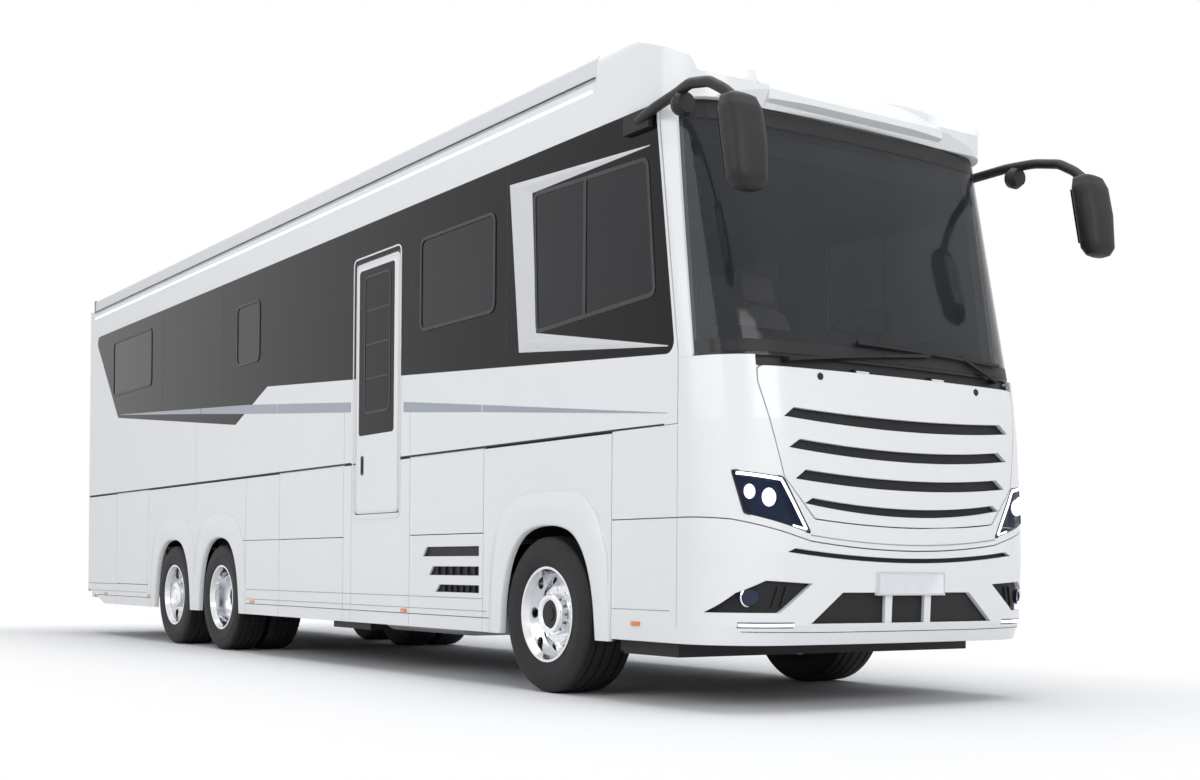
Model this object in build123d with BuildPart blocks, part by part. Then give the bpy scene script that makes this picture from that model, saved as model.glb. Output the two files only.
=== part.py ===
from build123d import *
import os

# A three-axle integrated motorhome, 12 m long, on a heavy truck chassis.
# Millimetres. The front faces -Y, +X is the vehicle's left, and z is 0 on the ground.
# The origin is on the ground under the middle of the whole vehicle.

os.makedirs("parts", exist_ok=True)

# Overall sizes. Stations are distances behind a datum line close to the front axle.
HALF_WIDTH = 1250.0
REAR_END = 9985.0
MIRROR_NOSE = 2240.0
DATUM_Y = (MIRROR_NOSE - REAR_END) / 2
FRONT_AXLE = -40.0
WHEELBASE = 5710.0
TAG_SPACING = 1320.0
DRIVE_AXLE = FRONT_AXLE + WHEELBASE
TAG_AXLE = DRIVE_AXLE + TAG_SPACING

# Heights
SKIRT_BOTTOM = 355.0
LOCKER_FLOOR = 1010.0
CREASE = 1580.0
BAND_TOP = 3410.0
WALL_TOP = 3690.0
ROOF_CROWN = 3765.0
AWNING_TOP = 3850.0

# Thicknesses and gaps
WALL = 45.0
SKIRT = 35.0
MASK = 30.0
SKIN = 3.0
PANE = 6.0
SLAB = 60.0
PANEL_GAP = 6.0
HINGE_GAP = 0.3

# Flap and door hinges: the barrel lies just inside the skin, in an open groove
BARREL_RADIUS = 3.5
BARREL_INSET = 4.0
GROOVE = 9.0

SIDES = {"right": -1, "left": 1}


def station(behind):
    """Y of a place given by its distance behind the datum line."""
    return DATUM_Y + behind


def skin_plane(side, inset=0.0):
    """A side's skin plane: local x is Y, local y is Z and its normal is +X."""
    return Plane.YZ.offset(side * (HALF_WIDTH - inset))


def front_plane(ahead):
    """A plane seen from the front: local x is X, local y is Z, its normal is -Y."""
    return Plane.XZ.offset(-station(-ahead))


def axle_plane(x, behind):
    """A plane through a wheel's axle line: local x runs along +X, local y upwards."""
    return Plane(origin=(x, station(behind), TYRE_RADIUS), x_dir=(1, 0, 0), z_dir=(0, -1, 0))


def axle_line(behind):
    return Axis((0, station(behind), TYRE_RADIUS), (1, 0, 0))


def at_stations(points):
    return [(station(behind), z) for behind, z in points]


def finish(builder, name):
    """Labels a piece and writes its file."""
    builder.part.label = name
    export_step(builder.part, f"parts/{name}.step")


def slab(x_range, y_range, z_range):
    """A plain box between two corners, y given by stations."""
    x0, x1 = x_range
    y0, y1 = y_range
    z0, z1 = z_range
    with Locations(((x0 + x1) / 2, station((y0 + y1) / 2), (z0 + z1) / 2)):
        Box(abs(x1 - x0), abs(y1 - y0), abs(z1 - z0))


BALL_SPARE = 0.6


def rod(start, end, radius):
    """A round bar with a slightly fuller ball at its far end, between two places given with stations."""
    foot = Vector(start[0], station(start[1]), start[2])
    head = Vector(end[0], station(end[1]), end[2])
    with BuildSketch(Plane(origin=foot, z_dir=head - foot)) as section:
        Circle(radius)
    extrude(section.sketch, amount=(head - foot).length)
    with Locations(head):
        Sphere(radius + BALL_SPARE)


def square_bar(start, end, size, spare):
    """A square bar between two places given with stations, which runs past both of them by spare."""
    foot = Vector(start[0], station(start[1]), start[2])
    head = Vector(end[0], station(end[1]), end[2])
    along = (head - foot).normalized()
    section_plane = Plane(origin=foot - along * spare, x_dir=along.cross(Vector(0, 1, 0)), z_dir=along)
    with BuildSketch(section_plane) as section:
        Rectangle(size, size)
    extrude(section.sketch, amount=(head - foot).length + 2 * spare)


# Wheels: each tyre is a revolved section, each rim a barrel with a dished disc and a hub
TYRE_RADIUS = 492.0
TYRE_WIDE = 375.0
TYRE_NARROW = 300.0
TYRE_FACE = 1235.0
TWIN_SPACING = 335.0
BEAD_RADIUS = 291.0
FLANGE_RADIUS = 300.0
FLANGE_THICK = 8.0
WELL_RADIUS = 270.0
RIM_SET_IN = 10.0
DISH_SHALLOW = 105.0
DISH_DEEP = 195.0
HUB_NOSE = 75.0
HUB_CAP = 15.0
HUB_BACK = 120.0
HUB_RADIUS = 125.0
HUB_BORE = 45.0
STUB_RADIUS = 44.9
HAND_HOLES = 10
HAND_HOLE_CIRCLE = 222.0
HAND_HOLE_RADIUS = 24.0

# columns: name, axle station, tyre width, number of tyres, depth of the dish
AXLES = [
    ("front", FRONT_AXLE, TYRE_WIDE, 1, DISH_SHALLOW),
    ("drive", DRIVE_AXLE, TYRE_NARROW, 2, DISH_DEEP),
    ("tag", TAG_AXLE, TYRE_WIDE, 1, DISH_SHALLOW),
]


def tyre_section(width):
    half = width / 2
    bead_in = RIM_SET_IN + FLANGE_THICK + HINGE_GAP
    right = [
        (half - 60, TYRE_RADIUS), (half - 30, TYRE_RADIUS - 12), (half - 4, TYRE_RADIUS - 75),
        (half, BEAD_RADIUS + 75), (half - bead_in, FLANGE_RADIUS + 4), (half - bead_in, BEAD_RADIUS),
    ]
    return right + [(-x, r) for x, r in reversed(right)]


def barrel_section(width):
    half = width / 2 - RIM_SET_IN
    right = [
        (half, FLANGE_RADIUS), (half, FLANGE_RADIUS - 16), (half - 40, WELL_RADIUS - 8),
    ]
    inside = [(-x, r) for x, r in reversed(right)]
    outer = [
        (-half + FLANGE_THICK, FLANGE_RADIUS), (-half + FLANGE_THICK, BEAD_RADIUS - HINGE_GAP),
        (half - FLANGE_THICK, BEAD_RADIUS - HINGE_GAP), (half - FLANGE_THICK, FLANGE_RADIUS),
    ]
    return right + inside + outer


def disc_section(side):
    """Dished disc and hub, measured outwards from the mounting face."""
    points = [
        (HUB_NOSE - HUB_CAP, 0), (HUB_NOSE, 0), (HUB_NOSE, HUB_RADIUS - 10),
        (HUB_NOSE - 10, HUB_RADIUS), (22, HUB_RADIUS + 8), (22, 178), (2, 212),
        (-22, WELL_RADIUS), (-36, WELL_RADIUS), (-14, 205), (0, 165),
        (-HUB_BACK, 150), (-HUB_BACK, HUB_BORE), (HUB_NOSE - HUB_CAP, HUB_BORE),
    ]
    return [(side * x, r) for x, r in points]


def disc_face(dish):
    """Distance of the disc's mounting face from the vehicle's middle plane."""
    return TYRE_FACE - RIM_SET_IN - dish


for axle_name, axle_station, width, tyres, dish in AXLES:
    for side_name, side in SIDES.items():
        centres = [side * (TYRE_FACE - width / 2 - n * TWIN_SPACING) for n in range(tyres)]
        face_x = side * disc_face(dish)
        with BuildPart() as tyre:
            for centre in centres:
                with BuildSketch(axle_plane(centre, axle_station)):
                    with BuildLine():
                        Polyline(*tyre_section(width), close=True)
                    make_face()
                revolve(axis=axle_line(axle_station))
        finish(tyre, f"tyre_{axle_name}_{side_name}")

        with BuildPart() as rim:
            for centre in centres:
                with BuildSketch(axle_plane(centre, axle_station)):
                    with BuildLine():
                        Polyline(*barrel_section(width), close=True)
                    make_face()
                revolve(axis=axle_line(axle_station))
            with BuildSketch(axle_plane(face_x, axle_station)):
                with BuildLine():
                    Polyline(*disc_section(side), close=True)
                make_face()
            revolve(axis=axle_line(axle_station))
            for centre in centres[1:]:
                web_x = face_x - side * (HUB_BACK - 20)
                reach = abs(web_x - centre) - (width / 2 - RIM_SET_IN)
                with BuildSketch(axle_plane(web_x, axle_station)):
                    with BuildLine():
                        Polyline(
                            (0, 140), (-side * (reach + 60), WELL_RADIUS - 6),
                            (-side * (reach + 80), WELL_RADIUS), (-side * (reach + 80), WELL_RADIUS - 8),
                            (-side * (reach + 60), WELL_RADIUS - 20), (-side * 20, 140), close=True,
                        )
                    make_face()
                revolve(axis=axle_line(axle_station))
            hole_origin = (face_x, station(axle_station), TYRE_RADIUS)
            with BuildSketch(Plane(origin=hole_origin, x_dir=(0, 1, 0), z_dir=(1, 0, 0))):
                with PolarLocations(HAND_HOLE_CIRCLE, HAND_HOLES):
                    Circle(HAND_HOLE_RADIUS)
            extrude(amount=40, both=True, mode=Mode.SUBTRACT)
        finish(rim, f"rim_{axle_name}_{side_name}")

# Steering: each knuckle turns on a kingpin in the front axle's eye
KINGPIN_X = 800.0
KINGPIN_RADIUS = 24.0
KINGPIN_HALF = 150.0
EYE_HALF = 62.0
EYE_RADIUS = 52.0
PIN_CLEARANCE = 0.05
LUG_THICK = 45.0
WEB_IN = 62.0
WEB_OUT = 105.0
HUB_SLACK = 0.3

with BuildPart() as front_axle:
    with BuildSketch(front_plane(-FRONT_AXLE)):
        with BuildLine():
            Polyline(
                (-KINGPIN_X, TYRE_RADIUS + EYE_HALF), (-KINGPIN_X, TYRE_RADIUS - EYE_HALF),
                (-KINGPIN_X + 90, TYRE_RADIUS - EYE_HALF), (-560, 320), (560, 320),
                (KINGPIN_X - 90, TYRE_RADIUS - EYE_HALF), (KINGPIN_X, TYRE_RADIUS - EYE_HALF),
                (KINGPIN_X, TYRE_RADIUS + EYE_HALF), (KINGPIN_X - 110, TYRE_RADIUS + EYE_HALF),
                (520, 420), (-520, 420), (-KINGPIN_X + 110, TYRE_RADIUS + EYE_HALF), close=True,
            )
        make_face()
    extrude(amount=42, both=True)
    for side in SIDES.values():
        eye_plane = Plane((side * KINGPIN_X, station(FRONT_AXLE), TYRE_RADIUS))
        with BuildSketch(eye_plane):
            Circle(EYE_RADIUS)
        extrude(amount=EYE_HALF, both=True)
        with BuildSketch(eye_plane):
            Circle(KINGPIN_RADIUS)
        extrude(amount=KINGPIN_HALF, both=True)
finish(front_axle, "front_axle")

stub_end = disc_face(DISH_SHALLOW) + HUB_NOSE - HUB_CAP - HUB_SLACK
for side_name, side in SIDES.items():
    with BuildPart() as knuckle:
        for level in (1, -1):
            lug_z = TYRE_RADIUS + level * (EYE_HALF + HUB_SLACK + LUG_THICK / 2)
            with BuildSketch(Plane.XY.offset(lug_z)):
                with Locations((side * KINGPIN_X, station(FRONT_AXLE))):
                    Circle(EYE_RADIUS)
                with Locations((side * (KINGPIN_X + WEB_OUT / 2), station(FRONT_AXLE))):
                    Rectangle(WEB_OUT, 2 * EYE_RADIUS)
                with Locations((side * KINGPIN_X, station(FRONT_AXLE))):
                    Circle(KINGPIN_RADIUS + PIN_CLEARANCE, mode=Mode.SUBTRACT)
            extrude(amount=LUG_THICK / 2, both=True)
        web_middle = side * (KINGPIN_X + (WEB_IN + WEB_OUT) / 2)
        with BuildSketch(Plane.YZ.offset(web_middle)):
            with Locations((station(FRONT_AXLE), TYRE_RADIUS)):
                Rectangle(2 * EYE_RADIUS, 2 * (EYE_HALF + HUB_SLACK + LUG_THICK))
        extrude(amount=(WEB_OUT - WEB_IN) / 2, both=True)
        web_face = side * (KINGPIN_X + WEB_OUT)
        with BuildSketch(Plane.YZ.offset(web_face)):
            with Locations((station(FRONT_AXLE), TYRE_RADIUS)):
                Circle(STUB_RADIUS)
        extrude(amount=side * (stub_end - KINGPIN_X - WEB_OUT))
    finish(knuckle, f"knuckle_{side_name}")

# Chassis: two long channel rails with cross tubes, raised to carry the double floor
RAIL_X = 430.0
RAIL_BOTTOM = 720.0
RAIL_TOP = 960.0
RAIL_FLANGE = 75.0
RAIL_WEB = 12.0
RAIL_FRONT = -1650.0
RAIL_REAR = 9650.0
CROSS_STATIONS = [-1590.0, 800.0, 2300.0, 3900.0, 5100.0, 6400.0, 7800.0, 9200.0]
CROSS_RADIUS = 55.0

with BuildPart() as chassis_frame:
    for side in SIDES.values():
        with BuildSketch(front_plane(-RAIL_FRONT)):
            with BuildLine():
                Polyline(
                    (side * RAIL_X, RAIL_BOTTOM), (side * RAIL_X, RAIL_TOP),
                    (side * (RAIL_X - RAIL_FLANGE), RAIL_TOP),
                    (side * (RAIL_X - RAIL_FLANGE), RAIL_TOP - RAIL_WEB),
                    (side * (RAIL_X - RAIL_WEB), RAIL_TOP - RAIL_WEB),
                    (side * (RAIL_X - RAIL_WEB), RAIL_BOTTOM + RAIL_WEB),
                    (side * (RAIL_X - RAIL_FLANGE), RAIL_BOTTOM + RAIL_WEB),
                    (side * (RAIL_X - RAIL_FLANGE), RAIL_BOTTOM), close=True,
                )
            make_face()
        extrude(amount=-(RAIL_REAR - RAIL_FRONT))
    for cross in CROSS_STATIONS:
        middle = (station(cross), (RAIL_BOTTOM + RAIL_TOP) / 2)
        with BuildSketch(Plane.YZ.offset(-RAIL_X + RAIL_WEB)):
            with Locations(middle):
                Circle(CROSS_RADIUS)
        extrude(amount=2 * (RAIL_X - RAIL_WEB))
finish(chassis_frame, "chassis_frame")

# Rear axles, with their trailing arms and air bellows up to the rails
AXLE_TUBE = 70.0
DIFF_RADIUS = 205.0
BELLOWS_RADIUS = 105.0
BELLOWS_AHEAD = 330.0
ARM_Z = 400.0

with BuildPart() as rear_axles:
    for axle_name, axle_station, width, tyres, dish in AXLES[1:]:
        hub_back = disc_face(dish) - HUB_BACK
        with BuildSketch(Plane.YZ):
            with Locations((station(axle_station), TYRE_RADIUS)):
                Circle(AXLE_TUBE)
        extrude(amount=hub_back - PANEL_GAP, both=True)
        with BuildSketch(Plane.YZ):
            with Locations((station(axle_station), TYRE_RADIUS)):
                Circle(STUB_RADIUS)
        extrude(amount=hub_back + HUB_BACK + HUB_NOSE - HUB_CAP - HUB_SLACK, both=True)
        if tyres == 2:
            with BuildSketch(Plane.XY.offset(TYRE_RADIUS)):
                with Locations((0, station(axle_station))):
                    Circle(DIFF_RADIUS)
            extrude(amount=120, both=True)
            fillet(rear_axles.edges().filter_by(GeomType.CIRCLE).filter_by(
                lambda edge: abs(edge.radius - DIFF_RADIUS) < 1), 70)
        for side in SIDES.values():
            arm_x = side * (RAIL_X - RAIL_FLANGE / 2)
            slab(
                (arm_x - 35, arm_x + 35), (axle_station - 60, axle_station + BELLOWS_AHEAD + 80),
                (ARM_Z, ARM_Z + 50),
            )
            slab(
                (arm_x - 35, arm_x + 35), (axle_station - 60, axle_station + 60),
                (ARM_Z, RAIL_BOTTOM - 60),
            )
            with BuildSketch(Plane.XY.offset(ARM_Z + 50)):
                with Locations((arm_x, station(axle_station + BELLOWS_AHEAD))):
                    Circle(BELLOWS_RADIUS)
            extrude(amount=RAIL_BOTTOM - ARM_Z - 50)
finish(rear_axles, "rear_axles")

# Leaf springs of the front axle, clamped on the beam and shackled to the rails
SPRING_HALF = 700.0
SPRING_THICK = 45.0
BEAM_TOP = 420.0
with BuildPart() as front_springs:
    for side in SIDES.values():
        spring_x = side * (RAIL_X - RAIL_FLANGE / 2)
        with BuildSketch(Plane.YZ.offset(spring_x)):
            with BuildLine():
                ThreePointArc(
                    (station(FRONT_AXLE - SPRING_HALF), BEAM_TOP + 190), (station(FRONT_AXLE), BEAM_TOP),
                    (station(FRONT_AXLE + SPRING_HALF), BEAM_TOP + 190),
                )
                Line(
                    (station(FRONT_AXLE + SPRING_HALF), BEAM_TOP + 190),
                    (station(FRONT_AXLE + SPRING_HALF), BEAM_TOP + 190 + SPRING_THICK),
                )
                ThreePointArc(
                    (station(FRONT_AXLE + SPRING_HALF), BEAM_TOP + 190 + SPRING_THICK),
                    (station(FRONT_AXLE), BEAM_TOP + SPRING_THICK),
                    (station(FRONT_AXLE - SPRING_HALF), BEAM_TOP + 190 + SPRING_THICK),
                )
                Line(
                    (station(FRONT_AXLE - SPRING_HALF), BEAM_TOP + 190 + SPRING_THICK),
                    (station(FRONT_AXLE - SPRING_HALF), BEAM_TOP + 190),
                )
            make_face()
        extrude(amount=35, both=True)
        for end in (-1, 1):
            slab(
                (spring_x - 30, spring_x + 30),
                (FRONT_AXLE + end * SPRING_HALF - 35, FRONT_AXLE + end * SPRING_HALF + 35),
                (BEAM_TOP + 190, RAIL_BOTTOM),
            )
finish(front_springs, "front_springs")

# Engine: one plain block between the rails, ahead of and over the front axle
ENGINE_HALF = 340.0
with BuildPart() as engine_block:
    slab((-ENGINE_HALF, ENGINE_HALF), (-1450.0, 250.0), (RAIL_BOTTOM - 20, 1400.0))
    slab((-RAIL_X + RAIL_WEB, RAIL_X - RAIL_WEB), (-700.0, -560.0), (RAIL_BOTTOM + 40, RAIL_TOP - 40))
finish(engine_block, "engine_block")

# What hangs below the skirt between the axles: battery box, fuel tank and air tanks
with BuildPart() as under_gear:
    slab((-1180.0, -760.0), (2560.0, 3240.0), (300.0, 700.0))
    slab((-760.0, -RAIL_X), (2700.0, 3100.0), (640.0, 700.0))
    slab((-RAIL_X - 60, -RAIL_X), (2700.0, 3100.0), (700.0, RAIL_BOTTOM + 80))
    slab((760.0, 1180.0), (2560.0, 3700.0), (320.0, 700.0))
    slab((RAIL_X, 760.0), (2700.0, 3500.0), (640.0, 700.0))
    slab((RAIL_X, RAIL_X + 60), (2700.0, 3500.0), (700.0, RAIL_BOTTOM + 80))
finish(under_gear, "under_gear")

with BuildPart() as fuel_tank:
    with BuildSketch(front_plane(-1200.0)):
        with Locations((-880.0, 520.0)):
            RectangleRounded(560.0, 430.0, 120.0)
    extrude(amount=-1180.0)
    slab((-700.0, -RAIL_X), (1400.0, 1480.0), (RAIL_BOTTOM, RAIL_BOTTOM + 15))
    slab((-700.0, -RAIL_X), (2100.0, 2180.0), (RAIL_BOTTOM, RAIL_BOTTOM + 15))
finish(fuel_tank, "fuel_tank")

# The wheel arches
# columns: front edge and rear edge at the foot, top
ARCHES = [
    (-640.0, 480.0, 1055.0),
    (5130.0, 6195.0, 1055.0),
    (6425.0, 7512.0, 1050.0),
]
ARCH_ROUND = 90.0
FLARE = 145.0
FLARE_RISE = 205.0
FLARE_PROUD = 7.0

# Locker flaps, the same on both sides
# columns: name, front station, rear station, bottom height
FLAPS = [
    ("front", 718.0, 1785.0, 1016.0),
    ("middle", 2930.0, 4215.0, 1016.0),
    ("rear", 7772.0, 8845.0, 586.0),
]
HINGE_Z = CREASE - BARREL_INSET

# Louvred vents behind the front wheel
# columns: front station, rear station, bottom, top
VENTS = [
    (771.0, 1580.0, 860.0, 927.0),
    (771.0, 1482.0, 728.0, 790.0),
    (767.0, 1383.0, 611.0, 663.0),
]
VENT_DEPTH = 24.0
VENT_SLANT = 55.0

# Panel lines of the skirt
LINE_WIDTH = 5.0
LINE_DEPTH = 4.0
# columns: station, bottom, top
UPRIGHT_LINES = [
    (715.0, SKIRT_BOTTOM, 1010.0), (1788.0, SKIRT_BOTTOM, 1010.0), (2780.0, SKIRT_BOTTOM, 1572.0),
    (2927.0, SKIRT_BOTTOM, 1010.0), (4218.0, SKIRT_BOTTOM, 1010.0), (5000.0, SKIRT_BOTTOM, 1572.0),
    (6310.0, 1260.0, 1572.0), (7769.0, SKIRT_BOTTOM, 580.0), (8848.0, SKIRT_BOTTOM, 580.0),
]
# columns: front station, rear station, height
LEVEL_LINES = [
    (4221.0, 5070.0, 1013.0), (8851.0, REAR_END - WALL, 580.0),
    (480.0, 5135.0, 448.0), (7520.0, 9600.0, 448.0),
]
SILL_PROUD = 4.0
SILL_TOP = 448.0
REAR_RISE = [(9290.0, SKIRT_BOTTOM), (REAR_END + 50, 545.0), (REAR_END + 50, 0.0), (9290.0, 0.0)]

# Side windows
# columns: front station, rear station, bottom, top
WINDOWS = [
    (590.0, 1635.0, 2480.0, 3130.0),
    (4710.0, 5250.0, 2610.0, 3140.0),
    (7710.0, 9030.0, 2680.0, 3270.0),
]
WINDOW_ROUND = 60.0
CAB_WINDOW = [(97.0, 3150.0), (-1120.0, 3113.0), (-1200.0, 2333.0), (54.0, 2273.0)]
CAB_WINDOW_ROUND = 35.0

# Entry door, in the right wall, hinged at its front edge
DOOR_FRONT = 1975.0
DOOR_REAR = 2715.0
DOOR_BOTTOM = 1190.0
DOOR_TOP = 3115.0
DOOR_THICK = 30.0
DOOR_ROUND = 50.0
DOOR_AXIS_Y = DOOR_FRONT - BARREL_INSET
DOOR_GAP = BARREL_INSET + GROOVE
DOOR_JAMB = 24.0
JAMB_LAP = 12.0
JAMB_FACE = 1190.0
DOOR_PANE = (DOOR_FRONT + 85.0, DOOR_REAR - 55.0, 1790.0, DOOR_TOP - 55.0)
DOOR_HANDLE = (2572.0, 2608.0, 1490.0, 1630.0)
DOOR_HANDLE_DEPTH = 16.0
STEP_DEPTH = 750.0
STEP_FLOOR = 1160.0
STEP_TREAD = 1350.0

# The black band of the window line
BAND = [
    (-1195.0, BAND_TOP), (9750.0, BAND_TOP), (8860.0, 2420.0), (5280.0, 2075.0),
    (4520.0, 2354.0), (-1395.0, 1974.0),
]
BAND_ROUND = 70.0
WALL_FRONT = -1420.0
PILLAR_TOP = -1210.0
CAP_REAR = -594.0
SKIRT_FRONT = -786.0
WALL_FOOT = HINGE_Z + BARREL_INSET + GROOVE - 4.0


def arch_outline(front, rear, top, margin=0.0, rise=0.0):
    """Opening of a wheel arch: slanted sides, sloping shoulders, a flat top, open below."""
    front = front - margin
    rear = rear + margin
    crown = top + rise
    return [
        (front, SKIRT_BOTTOM - 50), (front + 35, crown - 400), (front + 140, crown - 150),
        (front + 330, crown), (rear - 330, crown), (rear - 120, crown - 150),
        (rear - 22, crown - 400), (rear, SKIRT_BOTTOM - 50),
    ]


def stretch(side, inset, points, amount, mode=Mode.ADD, rounding=0.0):
    """Extrudes a side-view outline inwards from the skin, or outwards when negative."""
    with BuildSketch(skin_plane(side, inset)) as outline:
        with BuildLine():
            Polyline(*at_stations(points), close=True)
        make_face()
        if rounding:
            fillet(outline.vertices(), rounding)
    extrude(outline.sketch, amount=-side * amount, mode=mode)


def rectangle_points(y0, y1, z0, z1):
    return [(y0, z0), (y1, z0), (y1, z1), (y0, z1)]


def hinge_lugs(side, y0, y1):
    """Lugs of the wall at both ends of a flap's barrel, and the pin's seat between."""
    for inner, outer in ((y0 - HINGE_GAP, y0 - PANEL_GAP + 1), (y1 + HINGE_GAP, y1 + PANEL_GAP - 1)):
        lug = rectangle_points(inner, outer, HINGE_Z - BARREL_INSET, WALL_FOOT)
        stretch(side, BARREL_INSET - BARREL_RADIUS, lug, 2 * BARREL_RADIUS + 8)


def door_jamb(z0, z1, lap_z, outer):
    """The strip of frame that the closed entry door rests against, from one height to another."""
    with BuildSketch(skin_plane(-1, HALF_WIDTH - outer)) as frame:
        middle_y = station((DOOR_FRONT + DOOR_REAR) / 2)
        with Locations((middle_y, (z0 + z1) / 2)):
            Rectangle(DOOR_REAR - DOOR_FRONT + 2 * DOOR_JAMB, z1 - z0)
        clear = DOOR_REAR - DOOR_FRONT - 2 * JAMB_LAP
        far_z = z0 if lap_z > (z0 + z1) / 2 else z1
        with Locations((middle_y, (lap_z + far_z) / 2)):
            Rectangle(clear, abs(lap_z - far_z), mode=Mode.SUBTRACT)
    extrude(frame.sketch, amount=outer - JAMB_FACE)


def door_lug(z0, z1):
    """A lug of the body at one end of the entry door's barrel."""
    barrel_x = -(HALF_WIDTH - BARREL_INSET)
    slab((-(HALF_WIDTH - SKIN), barrel_x + BARREL_RADIUS + 8),
         (DOOR_FRONT - DOOR_GAP - 1, DOOR_AXIS_Y + BARREL_RADIUS), (z0, z1))


for side_name, side in SIDES.items():
    with BuildPart() as wall:
        stretch(side, 0.0, [
            (WALL_FRONT, WALL_FOOT), (REAR_END - WALL, WALL_FOOT), (REAR_END - WALL, WALL_TOP),
            (CAP_REAR, WALL_TOP), (CAP_REAR, BAND_TOP), (PILLAR_TOP, BAND_TOP),
            (WALL_FRONT, 1974.0),
        ], WALL)
        with BuildSketch(skin_plane(side)) as band_pocket:
            with BuildLine():
                Polyline(*at_stations(BAND), close=True)
            make_face()
            fillet([v for v in band_pocket.vertices() if v.Z < BAND_TOP - 500 and v.Y > station(4000)],
                   BAND_ROUND)
        extrude(amount=-side * SKIN, mode=Mode.SUBTRACT)
        for y0, y1, z0, z1 in WINDOWS:
            stretch(side, 0.0, rectangle_points(y0, y1, z0, z1), WALL, Mode.SUBTRACT, WINDOW_ROUND)
        stretch(side, 0.0, CAB_WINDOW, WALL, Mode.SUBTRACT, CAB_WINDOW_ROUND)
        if side_name == "right":
            stretch(side, 0.0, rectangle_points(
                DOOR_FRONT - DOOR_GAP, DOOR_REAR + PANEL_GAP, 1000, DOOR_TOP + PANEL_GAP,
            ), WALL, Mode.SUBTRACT)
            door_jamb(WALL_FOOT, DOOR_TOP + DOOR_JAMB, DOOR_TOP - JAMB_LAP, HALF_WIDTH - WALL)
            door_lug(DOOR_TOP + HINGE_GAP, DOOR_TOP + PANEL_GAP)
        for flap_name, y0, y1, z0 in FLAPS:
            hinge_lugs(side, y0, y1)
    finish(wall, f"wall_{side_name}")

    with BuildPart() as skirt:
        stretch(side, 0.0, rectangle_points(
            SKIRT_FRONT, REAR_END - WALL, SKIRT_BOTTOM, HINGE_Z - BARREL_RADIUS - 0.5,
        ), SKIRT)
        for front, rear, top in ARCHES:
            flare = arch_outline(front, rear, top, FLARE, FLARE_RISE)
            stretch(side, 0.0, flare, -FLARE_PROUD)
        stretch(side, 0.0, rectangle_points(600.0, 9600.0, SKIRT_BOTTOM, SILL_TOP), -SILL_PROUD)
        for line, z0, z1 in UPRIGHT_LINES:
            edges = rectangle_points(line - LINE_WIDTH / 2, line + LINE_WIDTH / 2, z0, z1)
            stretch(side, -2 * SILL_PROUD, edges, LINE_DEPTH + 2 * SILL_PROUD, Mode.SUBTRACT)
        for y0, y1, line in LEVEL_LINES:
            edges = rectangle_points(y0, y1, line - LINE_WIDTH / 2, line + LINE_WIDTH / 2)
            stretch(side, -2 * SILL_PROUD, edges, LINE_DEPTH + 2 * SILL_PROUD, Mode.SUBTRACT)
        for y0, y1, z0, z1 in VENTS:
            louvre = [(y0, z0), (y1, z0), (y1 - VENT_SLANT, z1), (y0, z1)]
            stretch(side, 0.0, louvre, VENT_DEPTH, Mode.SUBTRACT)
        for front, rear, top in ARCHES:
            opening = arch_outline(front, rear, top)
            stretch(side, -20.0, opening, SKIRT + 40, Mode.SUBTRACT)
        stretch(side, -20.0, rectangle_points(-3000, 11000, 0, SKIRT_BOTTOM), SKIRT + 40,
                Mode.SUBTRACT)
        stretch(side, -20.0, REAR_RISE, SKIRT + 40, Mode.SUBTRACT)
        for flap_name, y0, y1, z0 in FLAPS:
            hole = rectangle_points(y0 - PANEL_GAP, y1 + PANEL_GAP, z0 - PANEL_GAP, CREASE)
            stretch(side, -20.0, hole, SKIRT + 40, Mode.SUBTRACT)
        if side_name == "right":
            hole = rectangle_points(
                DOOR_FRONT - DOOR_GAP, DOOR_REAR + PANEL_GAP, DOOR_BOTTOM - PANEL_GAP, CREASE
            )
            stretch(side, -20.0, hole, SKIRT + 40, Mode.SUBTRACT)
            door_jamb(DOOR_BOTTOM - DOOR_JAMB, HINGE_Z - BARREL_INSET, DOOR_BOTTOM + JAMB_LAP,
                      HALF_WIDTH - SKIRT)
            door_lug(DOOR_BOTTOM - PANEL_GAP, DOOR_BOTTOM - HINGE_GAP)
    finish(skirt, f"skirt_{side_name}")

    for flap_name, y0, y1, z0 in FLAPS:
        with BuildPart() as flap:
            stretch(side, 0.0, rectangle_points(y0, y1, z0, HINGE_Z - BARREL_INSET), SKIRT - PANEL_GAP)
            barrel = Plane.XZ.offset(-station(y0))
            with BuildSketch(barrel):
                with Locations((side * (HALF_WIDTH - BARREL_INSET), HINGE_Z)):
                    Circle(BARREL_RADIUS)
                with Locations((side * (HALF_WIDTH - BARREL_INSET), HINGE_Z - BARREL_INSET)):
                    Rectangle(2, 2 * BARREL_INSET)
            extrude(amount=-(y1 - y0))
        finish(flap, f"flap_{flap_name}_{side_name}")

# Black band and window panes, both sides in one piece each
with BuildPart() as band:
    for side_name, side in SIDES.items():
        with BuildSketch(skin_plane(side)) as outline:
            with BuildLine():
                Polyline(*at_stations(BAND), close=True)
            make_face()
            fillet([v for v in outline.vertices() if v.Z < BAND_TOP - 500 and v.Y > station(4000)],
                   BAND_ROUND)
        extrude(amount=-side * SKIN)
        for y0, y1, z0, z1 in WINDOWS:
            stretch(side, 0.0, rectangle_points(y0, y1, z0, z1), SKIN, Mode.SUBTRACT, WINDOW_ROUND)
        stretch(side, 0.0, CAB_WINDOW, SKIN, Mode.SUBTRACT, CAB_WINDOW_ROUND)
    stretch(SIDES["right"], 0.0, rectangle_points(
        DOOR_FRONT - DOOR_GAP, DOOR_REAR + PANEL_GAP, 1000, DOOR_TOP + PANEL_GAP,
    ), SKIN, Mode.SUBTRACT)
finish(band, "band")

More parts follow.
